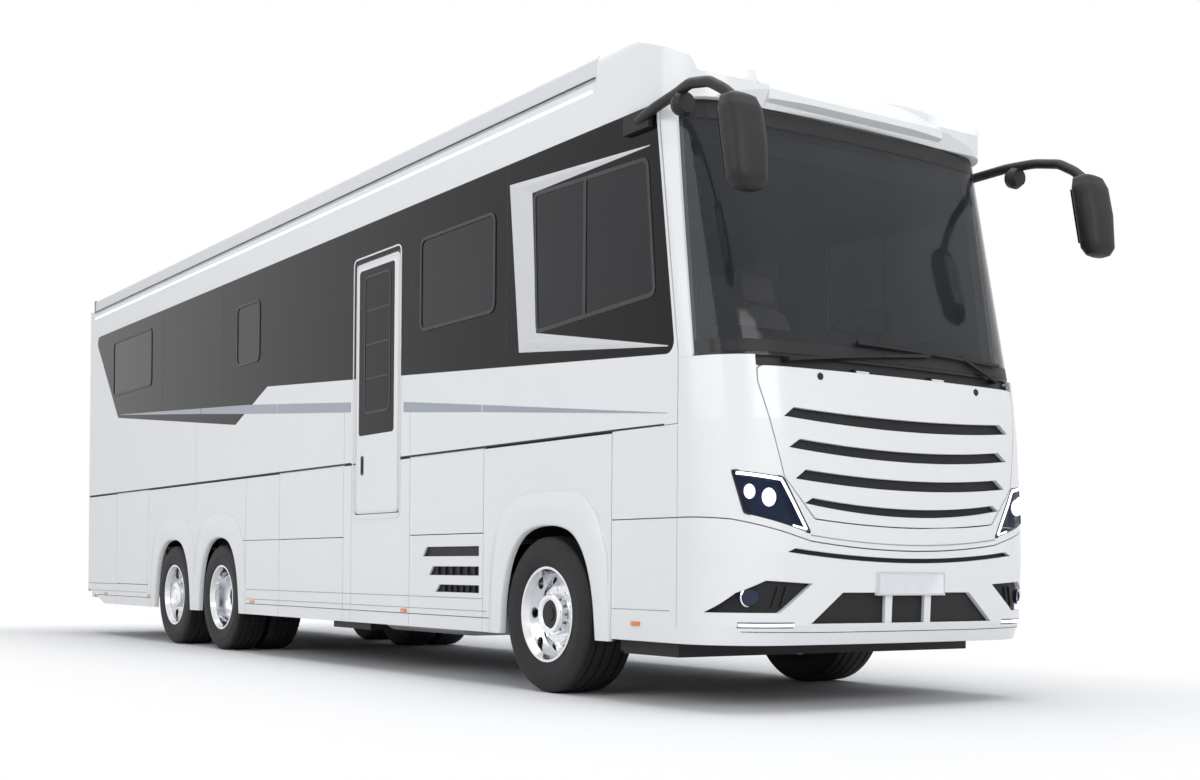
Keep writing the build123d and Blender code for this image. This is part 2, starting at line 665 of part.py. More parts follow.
with BuildPart() as side_glass:
    for side in SIDES.values():
        for y0, y1, z0, z1 in WINDOWS:
            stretch(side, 0.0, rectangle_points(y0, y1, z0, z1), PANE, Mode.ADD, WINDOW_ROUND)
        stretch(side, 0.0, CAB_WINDOW, PANE, Mode.ADD, CAB_WINDOW_ROUND)
finish(side_glass, "side_glass")

# Entry door with its pane; the barrel of its hinge stands at the front edge
with BuildPart() as entry_door:
    stretch(-1, 0.0, rectangle_points(DOOR_FRONT, DOOR_REAR, DOOR_BOTTOM, DOOR_TOP), DOOR_THICK,
            Mode.ADD, DOOR_ROUND)
    stretch(-1, 0.0, rectangle_points(*DOOR_PANE), PANE)
    stretch(-1, 0.0, rectangle_points(*DOOR_PANE), PANE, Mode.SUBTRACT, 30.0)
    stretch(-1, 0.0, rectangle_points(
        DOOR_PANE[0] + 60, DOOR_PANE[1] - 60, DOOR_PANE[2] + 150, DOOR_PANE[3] - 60,
    ), DOOR_THICK, Mode.SUBTRACT, 40.0)
    with BuildSketch(Plane.XY.offset(DOOR_BOTTOM)):
        with Locations((-(HALF_WIDTH - BARREL_INSET), station(DOOR_AXIS_Y))):
            Circle(BARREL_RADIUS)
        with Locations((-(HALF_WIDTH - BARREL_INSET), station((DOOR_AXIS_Y + DOOR_FRONT + 1) / 2))):
            Rectangle(2, DOOR_FRONT + 1 - DOOR_AXIS_Y)
    extrude(amount=DOOR_TOP - DOOR_BOTTOM)
    stretch(-1, 0.0, rectangle_points(
        DOOR_HANDLE[0], DOOR_HANDLE[1], DOOR_HANDLE[2], DOOR_HANDLE[3],
    ), DOOR_HANDLE_DEPTH, Mode.SUBTRACT, 12.0)
finish(entry_door, "entry_door")

with BuildPart() as door_glass:
    stretch(-1, 0.0, rectangle_points(*DOOR_PANE), PANE, Mode.ADD, 30.0)
finish(door_glass, "door_glass")

# Double floor: the locker floor on the rails, bulkheads, and the main floor at the crease
INNER = HALF_WIDTH - SKIRT
BULKHEADS = [650.0, 1860.0, 2860.0, 4290.0, 5000.0, 7640.0, 8920.0]
FLOOR_FRONT = -1400.0
FLOOR_TOP = WALL_FOOT
FLOOR_UNDER = FLOOR_TOP - SLAB
WELL = (DOOR_FRONT - 25, DOOR_REAR + 25)
WELL_PLATE = 20.0
# columns: distance from the middle, front station, rear station
HOUSINGS = [(500.0, -720.0, 650.0), (545.0, 5010.0, 7640.0)]
HOUSING_THICK = 8.0
COVERING = (1185.0, 720.0, 9900.0)
COVERING_THICK = 10.0

with BuildPart() as floor:
    slab((-INNER, INNER), (FLOOR_FRONT, REAR_END - WALL), (FLOOR_UNDER, FLOOR_TOP))
    slab((-COVERING[0], COVERING[0]), COVERING[1:], (FLOOR_TOP, FLOOR_TOP + COVERING_THICK))
    for bulkhead in BULKHEADS:
        slab((-INNER, INNER), (bulkhead, bulkhead + 20), (LOCKER_FLOOR, FLOOR_UNDER))
    slab((-INNER, INNER), (640.0, 5010.0), (LOCKER_FLOOR - 30, LOCKER_FLOOR))
    slab((-INNER, INNER), (7630.0, 9600.0), (LOCKER_FLOOR - 30, LOCKER_FLOOR))
    for side in SIDES.values():
        for rail_station in (640.0, 4800.0, 7630.0):
            slab(
                (side * (RAIL_X - RAIL_FLANGE), side * RAIL_X), (rail_station, rail_station + 200),
                (RAIL_TOP, LOCKER_FLOOR - 30),
            )
        for housing_x, y0, y1 in HOUSINGS:
            slab((side * housing_x, side * (housing_x + HOUSING_THICK)), (y0, y1),
                 (RAIL_BOTTOM, FLOOR_UNDER))
            slab((side * (RAIL_X - 10), side * (housing_x + 1)), (y0, y1), (RAIL_TOP, RAIL_TOP + HOUSING_THICK))
    step_in = -INNER + STEP_DEPTH
    with BuildSketch(Plane.XY.offset(STEP_FLOOR)) as stair:
        with Locations(((-INNER + step_in) / 2, station((WELL[0] + WELL[1]) / 2))):
            Rectangle(STEP_DEPTH, WELL[1] - WELL[0])
    extrude(stair.sketch, amount=FLOOR_TOP + COVERING_THICK - STEP_FLOOR, mode=Mode.SUBTRACT)
    for y0 in (WELL[0] - WELL_PLATE, WELL[1]):
        slab((-JAMB_FACE, step_in), (y0, y0 + WELL_PLATE), (STEP_FLOOR - 30, FLOOR_TOP))
    slab((step_in, step_in + WELL_PLATE), (WELL[0] - WELL_PLATE, WELL[1] + WELL_PLATE),
         (STEP_FLOOR - 30, FLOOR_TOP))
    slab((-JAMB_FACE, step_in), WELL, (STEP_FLOOR - 30, STEP_FLOOR))
    slab((step_in - STEP_DEPTH / 2, step_in), WELL, (STEP_FLOOR, STEP_TREAD))
finish(floor, "floor")

with BuildPart() as roof:
    with BuildSketch(Plane.XZ.offset(-station(CAP_REAR))):
        with BuildLine():
            Line((-HALF_WIDTH, WALL_TOP), (HALF_WIDTH, WALL_TOP))
            Line((HALF_WIDTH, WALL_TOP), (HALF_WIDTH - 25, WALL_TOP + 32))
            ThreePointArc((HALF_WIDTH - 25, WALL_TOP + 32), (0, ROOF_CROWN), (-HALF_WIDTH + 25, WALL_TOP + 32))
            Line((-HALF_WIDTH + 25, WALL_TOP + 32), (-HALF_WIDTH, WALL_TOP))
        make_face()
    extrude(amount=-(REAR_END - WALL - CAP_REAR))
finish(roof, "roof")

# The nose: plan sections from the bumper's lip up to the windscreen's foot
# columns: height, station of the front, bow of the front at the half width, corner radius
NOSE_SECTIONS = [
    (370.0, -1905.0, 90.0, 420.0),
    (480.0, -1958.0, 90.0, 430.0),
    (880.0, -1975.0, 90.0, 440.0),
    (1300.0, -1962.0, 90.0, 450.0),
    (1600.0, -1942.0, 90.0, 450.0),
    (1945.0, -1895.0, 90.0, 450.0),
]
NOSE_REAR = SKIRT_FRONT - PANEL_GAP
NOSE_TOP = NOSE_SECTIONS[-1][0]
GLASS_SECTIONS = [
    (NOSE_TOP, -1886.0, 95.0, 450.0),
    (BAND_TOP, -1519.0, 95.0, 330.0),
]
GLASS_THICK = 10.0
GLASS_IN = 12.0

# Openings of the front, seen from ahead
# columns of a slot: tip x, tip z, shoulder x, shoulder z, centre top z, centre bottom z
SLOTS = [
    (887.0, 1611.0, 819.0, 1663.0, 1636.0, 1570.0),
    (863.0, 1443.0, 788.0, 1492.0, 1453.0, 1395.0),
    (828.0, 1274.0, 757.0, 1326.0, 1290.0, 1232.0),
    (768.0, 1142.0, 714.0, 1173.0, 1128.0, 1082.0),
]
SLIT = (883.0, 877.0, 833.0, 898.0, 850.0, 824.0)
BONNET_TOP = (1010.0, 1884.0)
BONNET_UPRIGHT = 92.0
BONNET_ROUND = 35.0
BONNET_KNEE = (894.0, 1281.0)
BONNET_FOOT = (700.0, 1062.0)
BONNET_SAG = 1026.0
LAMP = [(1145.0, 1317.0), (1100.0, 1082.0), (731.0, 979.0), (906.0, 1281.0)]
BUMPER_TOP = [(1300.0, 1072.0), (1150.0, 1052.0), (731.0, 938.0)]
BUMPER_TOP_MIDDLE = 892.0
INTAKE = [(501.0, 658.0), (713.0, 488.0)]
FOG_POCKET = [(711.0, 706.0), (1000.0, 722.0), (1130.0, 655.0), (1225.0, 548.0), (918.0, 548.0)]
FOG_CENTRE = (1066.0, 631.0)
FOG_RADIUS = 42.0
TOWER = (128.0, 181.0)
PLATE = (-265.0, 265.0, 642.0, 774.0)
DAY_BAR = (820.0, 1120.0, 465.0, 497.0)
AHEAD = 2300.0
CUT_DEPTH = 1100.0


def nose_solid(sections, back, inset=0.0):
    """A closed solid lofted through plan sections, its skin moved inwards by the inset."""
    with BuildPart() as body:
        for height, front, bow, corner in sections:
            half = HALF_WIDTH - inset
            side_y = station(front + bow + inset)
            with BuildSketch(Plane.XY.offset(height)) as plan:
                with BuildLine():
                    Polyline(
                        (-half, side_y), (-half, station(back)), (half, station(back)), (half, side_y)
                    )
                    ThreePointArc((-half, side_y), (0, station(front + inset)), (half, side_y))
                make_face()
                fillet([v for v in plan.vertices() if abs(v.Y - side_y) < 1], corner - inset)
        loft(ruled=True)
    return body.part


def nose_shell(sections, back, thick, inset=0.0):
    """The nose's skin as a shell, open behind and at both ends."""
    with BuildPart() as shell:
        add(nose_solid(sections, back, inset))
        bottom, top = sections[0], sections[-1]
        tall = [(bottom[0] - 1,) + bottom[1:]] + sections[1:-1] + [(top[0] + 1,) + top[1:]]
        add(nose_solid(tall, back + 1, inset + thick), mode=Mode.SUBTRACT)
    return shell.part


def front_cut(points, mode=Mode.SUBTRACT, mirrored=True, depth=CUT_DEPTH, start=AHEAD):
    """A prism along Y from an outline seen from ahead; mirrored gives it on both sides."""
    with BuildSketch(front_plane(start)) as outline:
        for sign in (1, -1) if mirrored else (1,):
            with BuildLine():
                Polyline(*[(sign * x, z) for x, z in points], close=True)
            make_face()
    extrude(outline.sketch, amount=-depth, mode=mode)


def slot_sketch(tip_x, tip_z, shoulder_x, shoulder_z, top_z, bottom_z, start=AHEAD):
    with BuildSketch(front_plane(start)) as slot:
        with BuildLine():
            ThreePointArc((-shoulder_x, shoulder_z), (0, top_z), (shoulder_x, shoulder_z))
            Line((shoulder_x, shoulder_z), (tip_x, tip_z))
            ThreePointArc((tip_x, tip_z), (0, bottom_z), (-tip_x, tip_z))
            Line((-tip_x, tip_z), (-shoulder_x, shoulder_z))
        make_face()
    return slot.sketch


def bonnet_sketch(margin=0.0):
    """The bonnet's outline; its side edges end upright, so that the top corners clear the mask as it swings."""
    top_x, top_z = BONNET_TOP
    knee_x, knee_z = BONNET_KNEE
    foot_x, foot_z = BONNET_FOOT
    with BuildSketch(front_plane(AHEAD)) as outline:
        with BuildLine():
            Polyline(
                (-foot_x - margin, foot_z - margin), (-knee_x - margin, knee_z),
                (-top_x - margin, top_z - BONNET_UPRIGHT), (-top_x - margin, top_z + margin),
                (top_x + margin, top_z + margin), (top_x + margin, top_z - BONNET_UPRIGHT),
                (knee_x + margin, knee_z), (foot_x + margin, foot_z - margin),
            )
            ThreePointArc(
                (foot_x + margin, foot_z - margin), (0, BONNET_SAG - margin),
                (-foot_x - margin, foot_z - margin),
            )
        make_face()
        fillet(outline.vertices().group_by(Axis.Z)[-1], BONNET_ROUND)
    return outline.sketch


def bumper_sketch(rise):
    """Everything of the nose below the bumper's upper edge, moved up by the rise."""
    right = [(x, z + rise) for x, z in BUMPER_TOP]
    with BuildSketch(front_plane(AHEAD)) as outline:
        with BuildLine():
            Polyline(*reversed(right), (1300, 0), (-1300, 0), *[(-x, z) for x, z in right])
            inner_x, inner_z = right[-1]
            ThreePointArc((-inner_x, inner_z), (0, BUMPER_TOP_MIDDLE + rise), (inner_x, inner_z))
        make_face()
    return outline.sketch


# Wipers lie ahead of the glass, each with an arm on the cowl and a long blade
# columns: across, height
WIPERS = [
    [(-823.0, 1930.0), (-486.0, 1966.0), (-130.0, 2000.0), (237.0, 2032.0)],
    [(-313.0, 2062.0), (0.0, 2054.0), (300.0, 2046.0), (600.0, 2038.0), (878.0, 2030.0)],
    [(828.0, 1930.0), (526.0, 2052.0)],
]
WIPER_HALF = 9.0
WIPER_AHEAD = 22.0


def glass_station(x, z):
    """Station of the windscreen's outer face away from its corners."""
    low, high = GLASS_SECTIONS
    share = (z - low[0]) / (high[0] - low[0])
    front = low[1] + share * (high[1] - low[1]) + GLASS_IN
    return front + low[2] * (x / HALF_WIDTH) ** 2


# The bonnet's hinge stands in the dark cowl under the windscreen
BONNET_HINGE_X = 300.0
BONNET_AXIS = -1880.0
BONNET_AXIS_Z = 1893.0
BONNET_BARREL = 6.0
BARREL_HALF = 50.0
LUG_HALF = 5.0
LUG_REACH = 6.0
COWL_IN = 46.0

nose = nose_shell(NOSE_SECTIONS, NOSE_REAR, MASK)

with BuildPart() as front_mask:
    add(nose)
    extrude(bumper_sketch(PANEL_GAP / 2), amount=-CUT_DEPTH - 500, mode=Mode.SUBTRACT)
    extrude(bonnet_sketch(PANEL_GAP), amount=-CUT_DEPTH, mode=Mode.SUBTRACT)
    front_cut(LAMP)
    cowl_half = BONNET_TOP[0] + PANEL_GAP
    front_cut([(0, BONNET_TOP[1]), (cowl_half, BONNET_TOP[1]), (cowl_half, 2000), (0, 2000)])
    with Locations((0, station((WALL_FRONT - PANEL_GAP + 500) / 2), (WALL_FOOT - 3 + 2000) / 2)):
        Box(3000, 500 - WALL_FRONT + PANEL_GAP, 2003 - WALL_FOOT, mode=Mode.SUBTRACT)
finish(front_mask, "front_mask")

with BuildPart() as tower_skin:
    add(nose_shell(NOSE_SECTIONS, NOSE_REAR, MASK - 8.0, 8.0))
    front_cut([(TOWER[0], 470), (TOWER[1], 470), (TOWER[1], 680), (TOWER[0], 680)], Mode.INTERSECT)

with BuildPart() as bumper:
    add(nose)
    extrude(bumper_sketch(-PANEL_GAP / 2), amount=-CUT_DEPTH - 500, mode=Mode.INTERSECT)
    extrude(slot_sketch(*SLIT), amount=-CUT_DEPTH, mode=Mode.SUBTRACT)
    front_cut(INTAKE + [(-x, z) for x, z in reversed(INTAKE)], mirrored=False)
    front_cut(FOG_POCKET, depth=AHEAD - 1450)
    front_cut([(DAY_BAR[0], DAY_BAR[2]), (DAY_BAR[1], DAY_BAR[2]), (DAY_BAR[1], DAY_BAR[3]),
               (DAY_BAR[0], DAY_BAR[3])], depth=AHEAD - 1450)
    add(tower_skin.part)
    slab(PLATE[:2], (-1984.0, -1955.0), PLATE[2:])
finish(bumper, "bumper")

with BuildPart() as bonnet:
    add(nose)
    extrude(bonnet_sketch(), amount=-CUT_DEPTH, mode=Mode.INTERSECT)
    for slot in SLOTS:
        extrude(slot_sketch(*slot), amount=-CUT_DEPTH, mode=Mode.SUBTRACT)
    for side in SIDES.values():
        with BuildSketch(Plane.YZ.offset(side * BONNET_HINGE_X)):
            with Locations((station(BONNET_AXIS), BONNET_AXIS_Z)):
                Circle(BONNET_BARREL)
            with Locations((station(BONNET_AXIS), (BONNET_AXIS_Z + BONNET_TOP[1]) / 2 - 4)):
                Rectangle(BONNET_BARREL, BONNET_AXIS_Z - BONNET_TOP[1] + 8)
        extrude(amount=BARREL_HALF, both=True)
finish(bonnet, "bonnet")


with BuildPart() as cowl:
    add(nose_shell(NOSE_SECTIONS[-2:], NOSE_REAR, 25.0, COWL_IN))
    half = BONNET_TOP[0]
    front_cut([(-half, BONNET_TOP[1]), (half, BONNET_TOP[1]), (half, 2000), (-half, 2000)],
              Mode.INTERSECT, mirrored=False)
    for side in SIDES.values():
        for end in (-1, 1):
            lug_x = side * BONNET_HINGE_X + end * (BARREL_HALF + HINGE_GAP + LUG_HALF)
            slab((lug_x - LUG_HALF, lug_x + LUG_HALF), (BONNET_AXIS - LUG_REACH, BONNET_AXIS + 45),
                 (BONNET_AXIS_Z - LUG_REACH, BONNET_AXIS_Z + 12))
    for arm in (WIPERS[0], WIPERS[2]):
        x, z = arm[0]
        with BuildSketch(front_plane(-glass_station(x, z) + WIPER_AHEAD)) as pivot:
            with Locations((x, z)):
                Circle(WIPER_HALF + 5)
        extrude(pivot.sketch, amount=-80)
    for arm in WIPERS:
        places = [(x, glass_station(x, z) - WIPER_AHEAD, z) for x, z in arm]
        for turn, (start, end) in enumerate(zip(places, places[1:])):
            size = 2 * (WIPER_HALF - turn % 2)
            square_bar(start, end, size, size / 3)
finish(cowl, "cowl")

# Dark mesh behind the slots, which rides on the bonnet, and behind the bumper's openings
MESH_THICK = 8.0
mesh_skin = nose_shell(NOSE_SECTIONS, NOSE_REAR, MESH_THICK, MASK)
with BuildPart() as bonnet_mesh:
    add(mesh_skin)
    front_cut([(690, 1075), (870, 1285), (930, 1700), (-930, 1700), (-870, 1285), (-690, 1075)],
              Mode.INTERSECT, mirrored=False)
finish(bonnet_mesh, "bonnet_mesh")

with BuildPart() as bumper_mesh:
    add(mesh_skin)
    front_cut([(1215, 530), (1215, 700), (1020, 760), (900, 915), (-900, 915), (-1020, 760),
               (-1215, 700), (-1215, 530), (-850, 400), (850, 400)], Mode.INTERSECT, mirrored=False)
finish(bumper_mesh, "bumper_mesh")

# Windscreen and the pale pillars at its sides, split along slanted lines
GLASS_FOOT = GLASS_SECTIONS[0][0]
GLASS_HEAD = GLASS_SECTIONS[1][0]
PILLAR_WIDTH = 98.0
PILLAR_SEAM = 5.0
PILLAR_THICK = 36.0


def side_view_cut(points, mode):
    with BuildSketch(Plane.YZ.offset(-1500)) as outline:
        with BuildLine():
            Polyline(*at_stations(points), close=True)
        make_face()
    extrude(outline.sketch, amount=3000, mode=mode)


def slanted_line(offset):
    """The wall's front edge moved ahead by an offset, from the windscreen's foot to its head."""
    return [(WALL_FRONT - offset, GLASS_FOOT - 60), (WALL_FRONT - offset, 1974.0),
            (PILLAR_TOP - offset, BAND_TOP), (PILLAR_TOP - offset, GLASS_HEAD + 60)]


with BuildPart() as windscreen:
    add(nose_shell(GLASS_SECTIONS, -900.0, GLASS_THICK, GLASS_IN))
    edge = slanted_line(PILLAR_SEAM + PILLAR_WIDTH)
    side_view_cut(edge + [(-2300.0, GLASS_HEAD + 60), (-2300.0, GLASS_FOOT - 60)], Mode.INTERSECT)
finish(windscreen, "windscreen")

with BuildPart() as pillars:
    add(nose_shell(GLASS_SECTIONS, -900.0, PILLAR_THICK, 0.0))
    near = slanted_line(PILLAR_SEAM)
    far = slanted_line(PILLAR_SEAM + PILLAR_WIDTH - HINGE_GAP)
    side_view_cut(near + list(reversed(far)), Mode.INTERSECT)
finish(pillars, "pillars")

# Roof cap: a long visor in the middle and a fuller pod over the lamps on each side
CAP_FOOT = BAND_TOP
CAP_TOP = 3932.0
CAP_PLAN = (-1562.0, 95.0, 330.0)
CAP_SHOULDER = 170.0
CAP_WALL = 40.0
# columns: inner end, outer end, height, tallness, station of the recess floor
CAP_LAMP = (766.0, 1150.0, 3590.0, 56.0, 1445.0)
POD_INNER = 700.0
VISOR = [
    (CAP_REAR, CAP_FOOT), (-1480.0, CAP_FOOT), (-1500.0, 3440.0), (-1552.0, 3462.0),
    (-1550.0, 3500.0), (-1300.0, 3665.0), (-1120.0, 3762.0), (-900.0, 3832.0), (CAP_REAR, 3872.0),
]
POD = [
    (CAP_REAR, CAP_FOOT), (-1480.0, CAP_FOOT), (-1545.0, 3525.0), (-1430.0, 3560.0),
    (-1400.0, 3645.0), (-1250.0, 3718.0), (-1035.0, 3800.0), (-836.0, 3872.0),
    (-700.0, 3908.0), (CAP_REAR, CAP_TOP),
]


def cap_solid(shrink):
    """The cap's outer form, or the hollow inside it, shrunk by a wall."""
    front, bow, corner = CAP_PLAN
    half = HALF_WIDTH - shrink
    with BuildPart() as form:
        for x0, x1, profile in (
            (-POD_INNER, POD_INNER, VISOR), (POD_INNER, half, POD), (-half, -POD_INNER, POD),
        ):
            with BuildSketch(Plane.YZ.offset(x0)) as section:
                with BuildLine():
                    Polyline(*at_stations(profile), close=True)
                make_face()
                if shrink:
                    offset(amount=-shrink)
            extrude(section.sketch, amount=x1 - x0)
        side_y = station(front + bow + shrink)
        with BuildSketch(Plane.XY.offset(CAP_FOOT - 200)) as plan:
            with BuildLine():
                Polyline((-half, side_y), (-half, station(CAP_REAR)), (half, station(CAP_REAR)),
                         (half, side_y))
                ThreePointArc((-half, side_y), (0, station(front + shrink)), (half, side_y))
            make_face()
            fillet([v for v in plan.vertices() if abs(v.Y - side_y) < 1], corner - shrink)
        extrude(plan.sketch, amount=900, mode=Mode.INTERSECT)
        with BuildSketch(front_plane(AHEAD)) as outline:
            with Locations((0, (CAP_FOOT + CAP_TOP) / 2 - 200 - shrink / 2)):
                Rectangle(2 * half, CAP_TOP - CAP_FOOT + 400 - shrink)
            fillet(outline.vertices().group_by(Axis.Z)[-1], CAP_SHOULDER - shrink)
        extrude(outline.sketch, amount=-AHEAD - 500, mode=Mode.INTERSECT)
    return form.part


with BuildPart() as roof_cap:
    add(cap_solid(0.0))
    add(cap_solid(CAP_WALL), mode=Mode.SUBTRACT)
    with Locations((0, station(-900.0), CAP_FOOT + 10)):
        Box(2 * (HALF_WIDTH - CAP_WALL), 800, 90, mode=Mode.SUBTRACT)
    with Locations((0, station(CAP_REAR - 50), (CAP_FOOT + WALL_TOP) / 2 - 10)):
        Box(2 * (HALF_WIDTH - CAP_WALL), 200, WALL_TOP - CAP_FOOT + 20, mode=Mode.SUBTRACT)
    for side in SIDES.values():
        with BuildSketch(front_plane(AHEAD)) as recess:
            with Locations((side * (CAP_LAMP[0] + CAP_LAMP[1]) / 2, CAP_LAMP[2])):
                SlotOverall(CAP_LAMP[1] - CAP_LAMP[0], CAP_LAMP[3])
        extrude(recess.sketch, amount=-(AHEAD - CAP_LAMP[4]), mode=Mode.SUBTRACT)
finish(roof_cap, "roof_cap")

# Lamps: headlamps, fog lamps and day bars in the nose, markers on the skirts, lamps behind
LAMP_INSET = 4.0
LAMP_THICK = 50.0
with BuildPart() as headlamps:
    add(nose_shell(NOSE_SECTIONS, NOSE_REAR, LAMP_THICK, LAMP_INSET))
    front_cut(LAMP, Mode.INTERSECT)
finish(headlamps, "headlamps")

with BuildPart() as front_lamps:
    add(nose_shell(NOSE_SECTIONS, NOSE_REAR, MASK - 12.0, 12.0))
    with BuildSketch(front_plane(AHEAD)) as lamp_faces:
        for side in SIDES.values():
            with Locations((side * FOG_CENTRE[0], FOG_CENTRE[1])):
                Circle(FOG_RADIUS)
            with Locations((side * (DAY_BAR[0] + DAY_BAR[1]) / 2, (DAY_BAR[2] + DAY_BAR[3]) / 2)):
                Rectangle(DAY_BAR[1] - DAY_BAR[0], DAY_BAR[3] - DAY_BAR[2])
    extrude(lamp_faces.sketch, amount=-CUT_DEPTH, mode=Mode.INTERSECT)
finish(front_lamps, "front_lamps")

MARKERS = [-1042.0, 1866.0, 4830.0, 7720.0, 9254.0]
MARKER_Z = 467.0
MARKER_SIZE = (84.0, 26.0)
MARKER_PROUD = 9.0
TAIL_LAMPS = [720.0, 880.0, 1040.0]
TAIL_LAMP_X = 1105.0
TAIL_LAMP_RADIUS = 62.0
TAIL_POCKET = 20.0
with BuildPart() as side_and_tail_lamps:
    for side in SIDES.values():
        for marker in MARKERS:
            with BuildSketch(skin_plane(side)) as lens:
                with Locations((station(marker), MARKER_Z)):
                    RectangleRounded(*MARKER_SIZE, 8.0)
            extrude(lens.sketch, amount=side * MARKER_PROUD)
        for lamp_z in TAIL_LAMPS:
            with BuildSketch(Plane.XZ.offset(-station(REAR_END))) as lens:
                with Locations((side * TAIL_LAMP_X, lamp_z)):
                    Circle(TAIL_LAMP_RADIUS)
            extrude(lens.sketch, amount=TAIL_POCKET)
finish(side_and_tail_lamps, "side_and_tail_lamps")

REAR_FOOT = SKIRT_BOTTOM + 130.0
with BuildPart() as wall_rear:
    with BuildSketch(Plane.XY.offset(REAR_FOOT)) as rear_plan:
        with Locations((0, station(REAR_END - WALL / 2))):
            Rectangle(2 * HALF_WIDTH, WALL)
        fillet(rear_plan.vertices().group_by(Axis.Y)[-1], 35)
    extrude(amount=ROOF_CROWN - 30 - REAR_FOOT)
    add(side_and_tail_lamps.part, mode=Mode.SUBTRACT)
finish(wall_rear, "wall_rear")

# Rear bumper under the rear wall, on two arms from the rails
with BuildPart() as rear_bumper:
    with BuildSketch(Plane.XY.offset(REAR_FOOT - 70)) as bumper_plan:
        with Locations((0, station(REAR_END - 70))):
            Rectangle(2 * INNER - 20, 140)
        fillet(bumper_plan.vertices().group_by(Axis.Y)[-1], 35)
    extrude(amount=70)
    for side in SIDES.values():
        slab((side * (RAIL_X - 60), side * RAIL_X), (REAR_END - 140, REAR_END - 80),
             (REAR_FOOT - 1, RAIL_TOP - 20))
        slab((side * (RAIL_X - 60), side * RAIL_X), (RAIL_REAR, REAR_END - 80),
             (RAIL_BOTTOM + 20, RAIL_TOP - 20))
finish(rear_bumper, "rear_bumper")

# What carries the nose: arms ahead of the rails, a cross beam, posts and the cab's floor
BEAM = (-1560.0, -1480.0, 760.0, 880.0)
POST_X = (980.0, 1060.0)
CAB_FLOOR_FRONT = -1760.0
TRAY = (1160.0, -1330.0, -800.0, 285.0, 400.0)
with BuildPart() as front_carrier:
    for side in SIDES.values():
        slab((side * (RAIL_X - RAIL_FLANGE), side * RAIL_X), (-2100.0, RAIL_FRONT),
             (RAIL_BOTTOM + 20, RAIL_TOP - 20))
        slab((side * RAIL_X, side * HALF_WIDTH), BEAM[:2], BEAM[2:])
        slab((side * POST_X[0], side * POST_X[1]), BEAM[:2], (BEAM[3] - 1, FLOOR_UNDER + 1))
    slab((-HALF_WIDTH, HALF_WIDTH), (CAB_FLOOR_FRONT, FLOOR_FRONT), (FLOOR_UNDER, FLOOR_TOP))
    add(nose_solid(NOSE_SECTIONS, NOSE_REAR + 200, MASK), mode=Mode.INTERSECT)
    add(bonnet_mesh.part, mode=Mode.SUBTRACT)
    add(bumper_mesh.part, mode=Mode.SUBTRACT)
finish(front_carrier, "front_carrier")

with BuildPart() as front_tray:
    slab((-TRAY[0], TRAY[0]), TRAY[1:3], TRAY[3:])
    slab((-TRAY[0] + 12, TRAY[0] - 12), (TRAY[1] + 12, TRAY[2] + 50), (TRAY[3] + 12, TRAY[4] + 50))
    for side in SIDES.values():
        slab((side * (RAIL_X - RAIL_FLANGE), side * RAIL_X), (TRAY[1] + 30, TRAY[1] + 110),
             (TRAY[3], RAIL_BOTTOM))
finish(front_tray, "front_tray")

# Pale frames round the cab windows, each an open C with long pointed arms
FRAME_PROUD = 16.0
WINDOW_FRAME = [
    (405.0, 3273.0), (-1143.0, 3186.0), (-1143.0, 3180.0), (150.0, 3164.0), (54.0, 2280.0),
    (-1330.0, 2024.0), (-1330.0, 2018.0), (274.0, 2167.0),
]
with BuildPart() as window_frames:
    for side in SIDES.values():
        stretch(side, 0.0, WINDOW_FRAME, -FRAME_PROUD)
finish(window_frames, "window_frames")

# Mirrors: a foot on the wall, a long arm that reaches ahead, and a head that hangs from it
# columns: height, station, half width, half depth
MIRROR_X = 1381.0
MIRROR_SECTIONS = [
    (2705.0, -2168.0, 80.0, 50.0), (2755.0, -2165.0, 112.0, 75.0), (2960.0, -2139.0, 122.0, 84.0),
    (3130.0, -2105.0, 120.0, 82.0), (3215.0, -2085.0, 95.0, 62.0),
]
MIRROR_ARM = [
    (1290.0, -1100.0, 3345.0), (1310.0, -1400.0, 3372.0), (1378.0, -1640.0, 3378.0),
    (1390.0, -1880.0, 3335.0), (1381.0, -2080.0, 3190.0),
]
MIRROR_FOOT = (-1180.0, -900.0, 3275.0, 3400.0)
MIRROR_FOOT_PROUD = 34.0
MIRROR_BLADE = 32.0
WIDE_MIRROR = (1330.0, -1560.0, 3300.0)
with BuildPart() as mirrors:
    for height, behind, half_x, half_y in MIRROR_SECTIONS:
        with BuildSketch(Plane.XY.offset(height)):
            with Locations((MIRROR_X, station(behind))):
                RectangleRounded(2 * half_x, 2 * half_y, half_y * 0.7)
    loft(ruled=True)
    for start, end in zip(MIRROR_ARM, MIRROR_ARM[1:]):
        rod(start, end, MIRROR_BLADE)
    stretch(1, 0.0, rectangle_points(*MIRROR_FOOT), -MIRROR_FOOT_PROUD, Mode.ADD, 50.0)
    wide_x, wide_station, wide_z = WIDE_MIRROR
    with BuildSketch(front_plane(-wide_station)):
        with Locations((wide_x, wide_z)):
            Ellipse(70, 50)
    extrude(amount=35, both=True)
    mirror(about=Plane.YZ)
finish(mirrors, "mirrors")

# Awning case along the right edge of the roof
AWNING = (CAP_REAR, 9830.0)
AWNING_SIZE = (118.0, AWNING_TOP - WALL_TOP - 5)
AWNING_SET_IN = 6.0
with BuildPart() as awning:
    with BuildSketch(front_plane(-AWNING[0])) as case:
        with Locations((-(HALF_WIDTH - AWNING_SET_IN - AWNING_SIZE[0] / 2),
                        AWNING_TOP - AWNING_SIZE[1] / 2)):
            RectangleRounded(*AWNING_SIZE, 30.0)
    extrude(case.sketch, amount=-(AWNING[1] - AWNING[0]))
    add(roof.part, mode=Mode.SUBTRACT)
finish(awning, "awning")

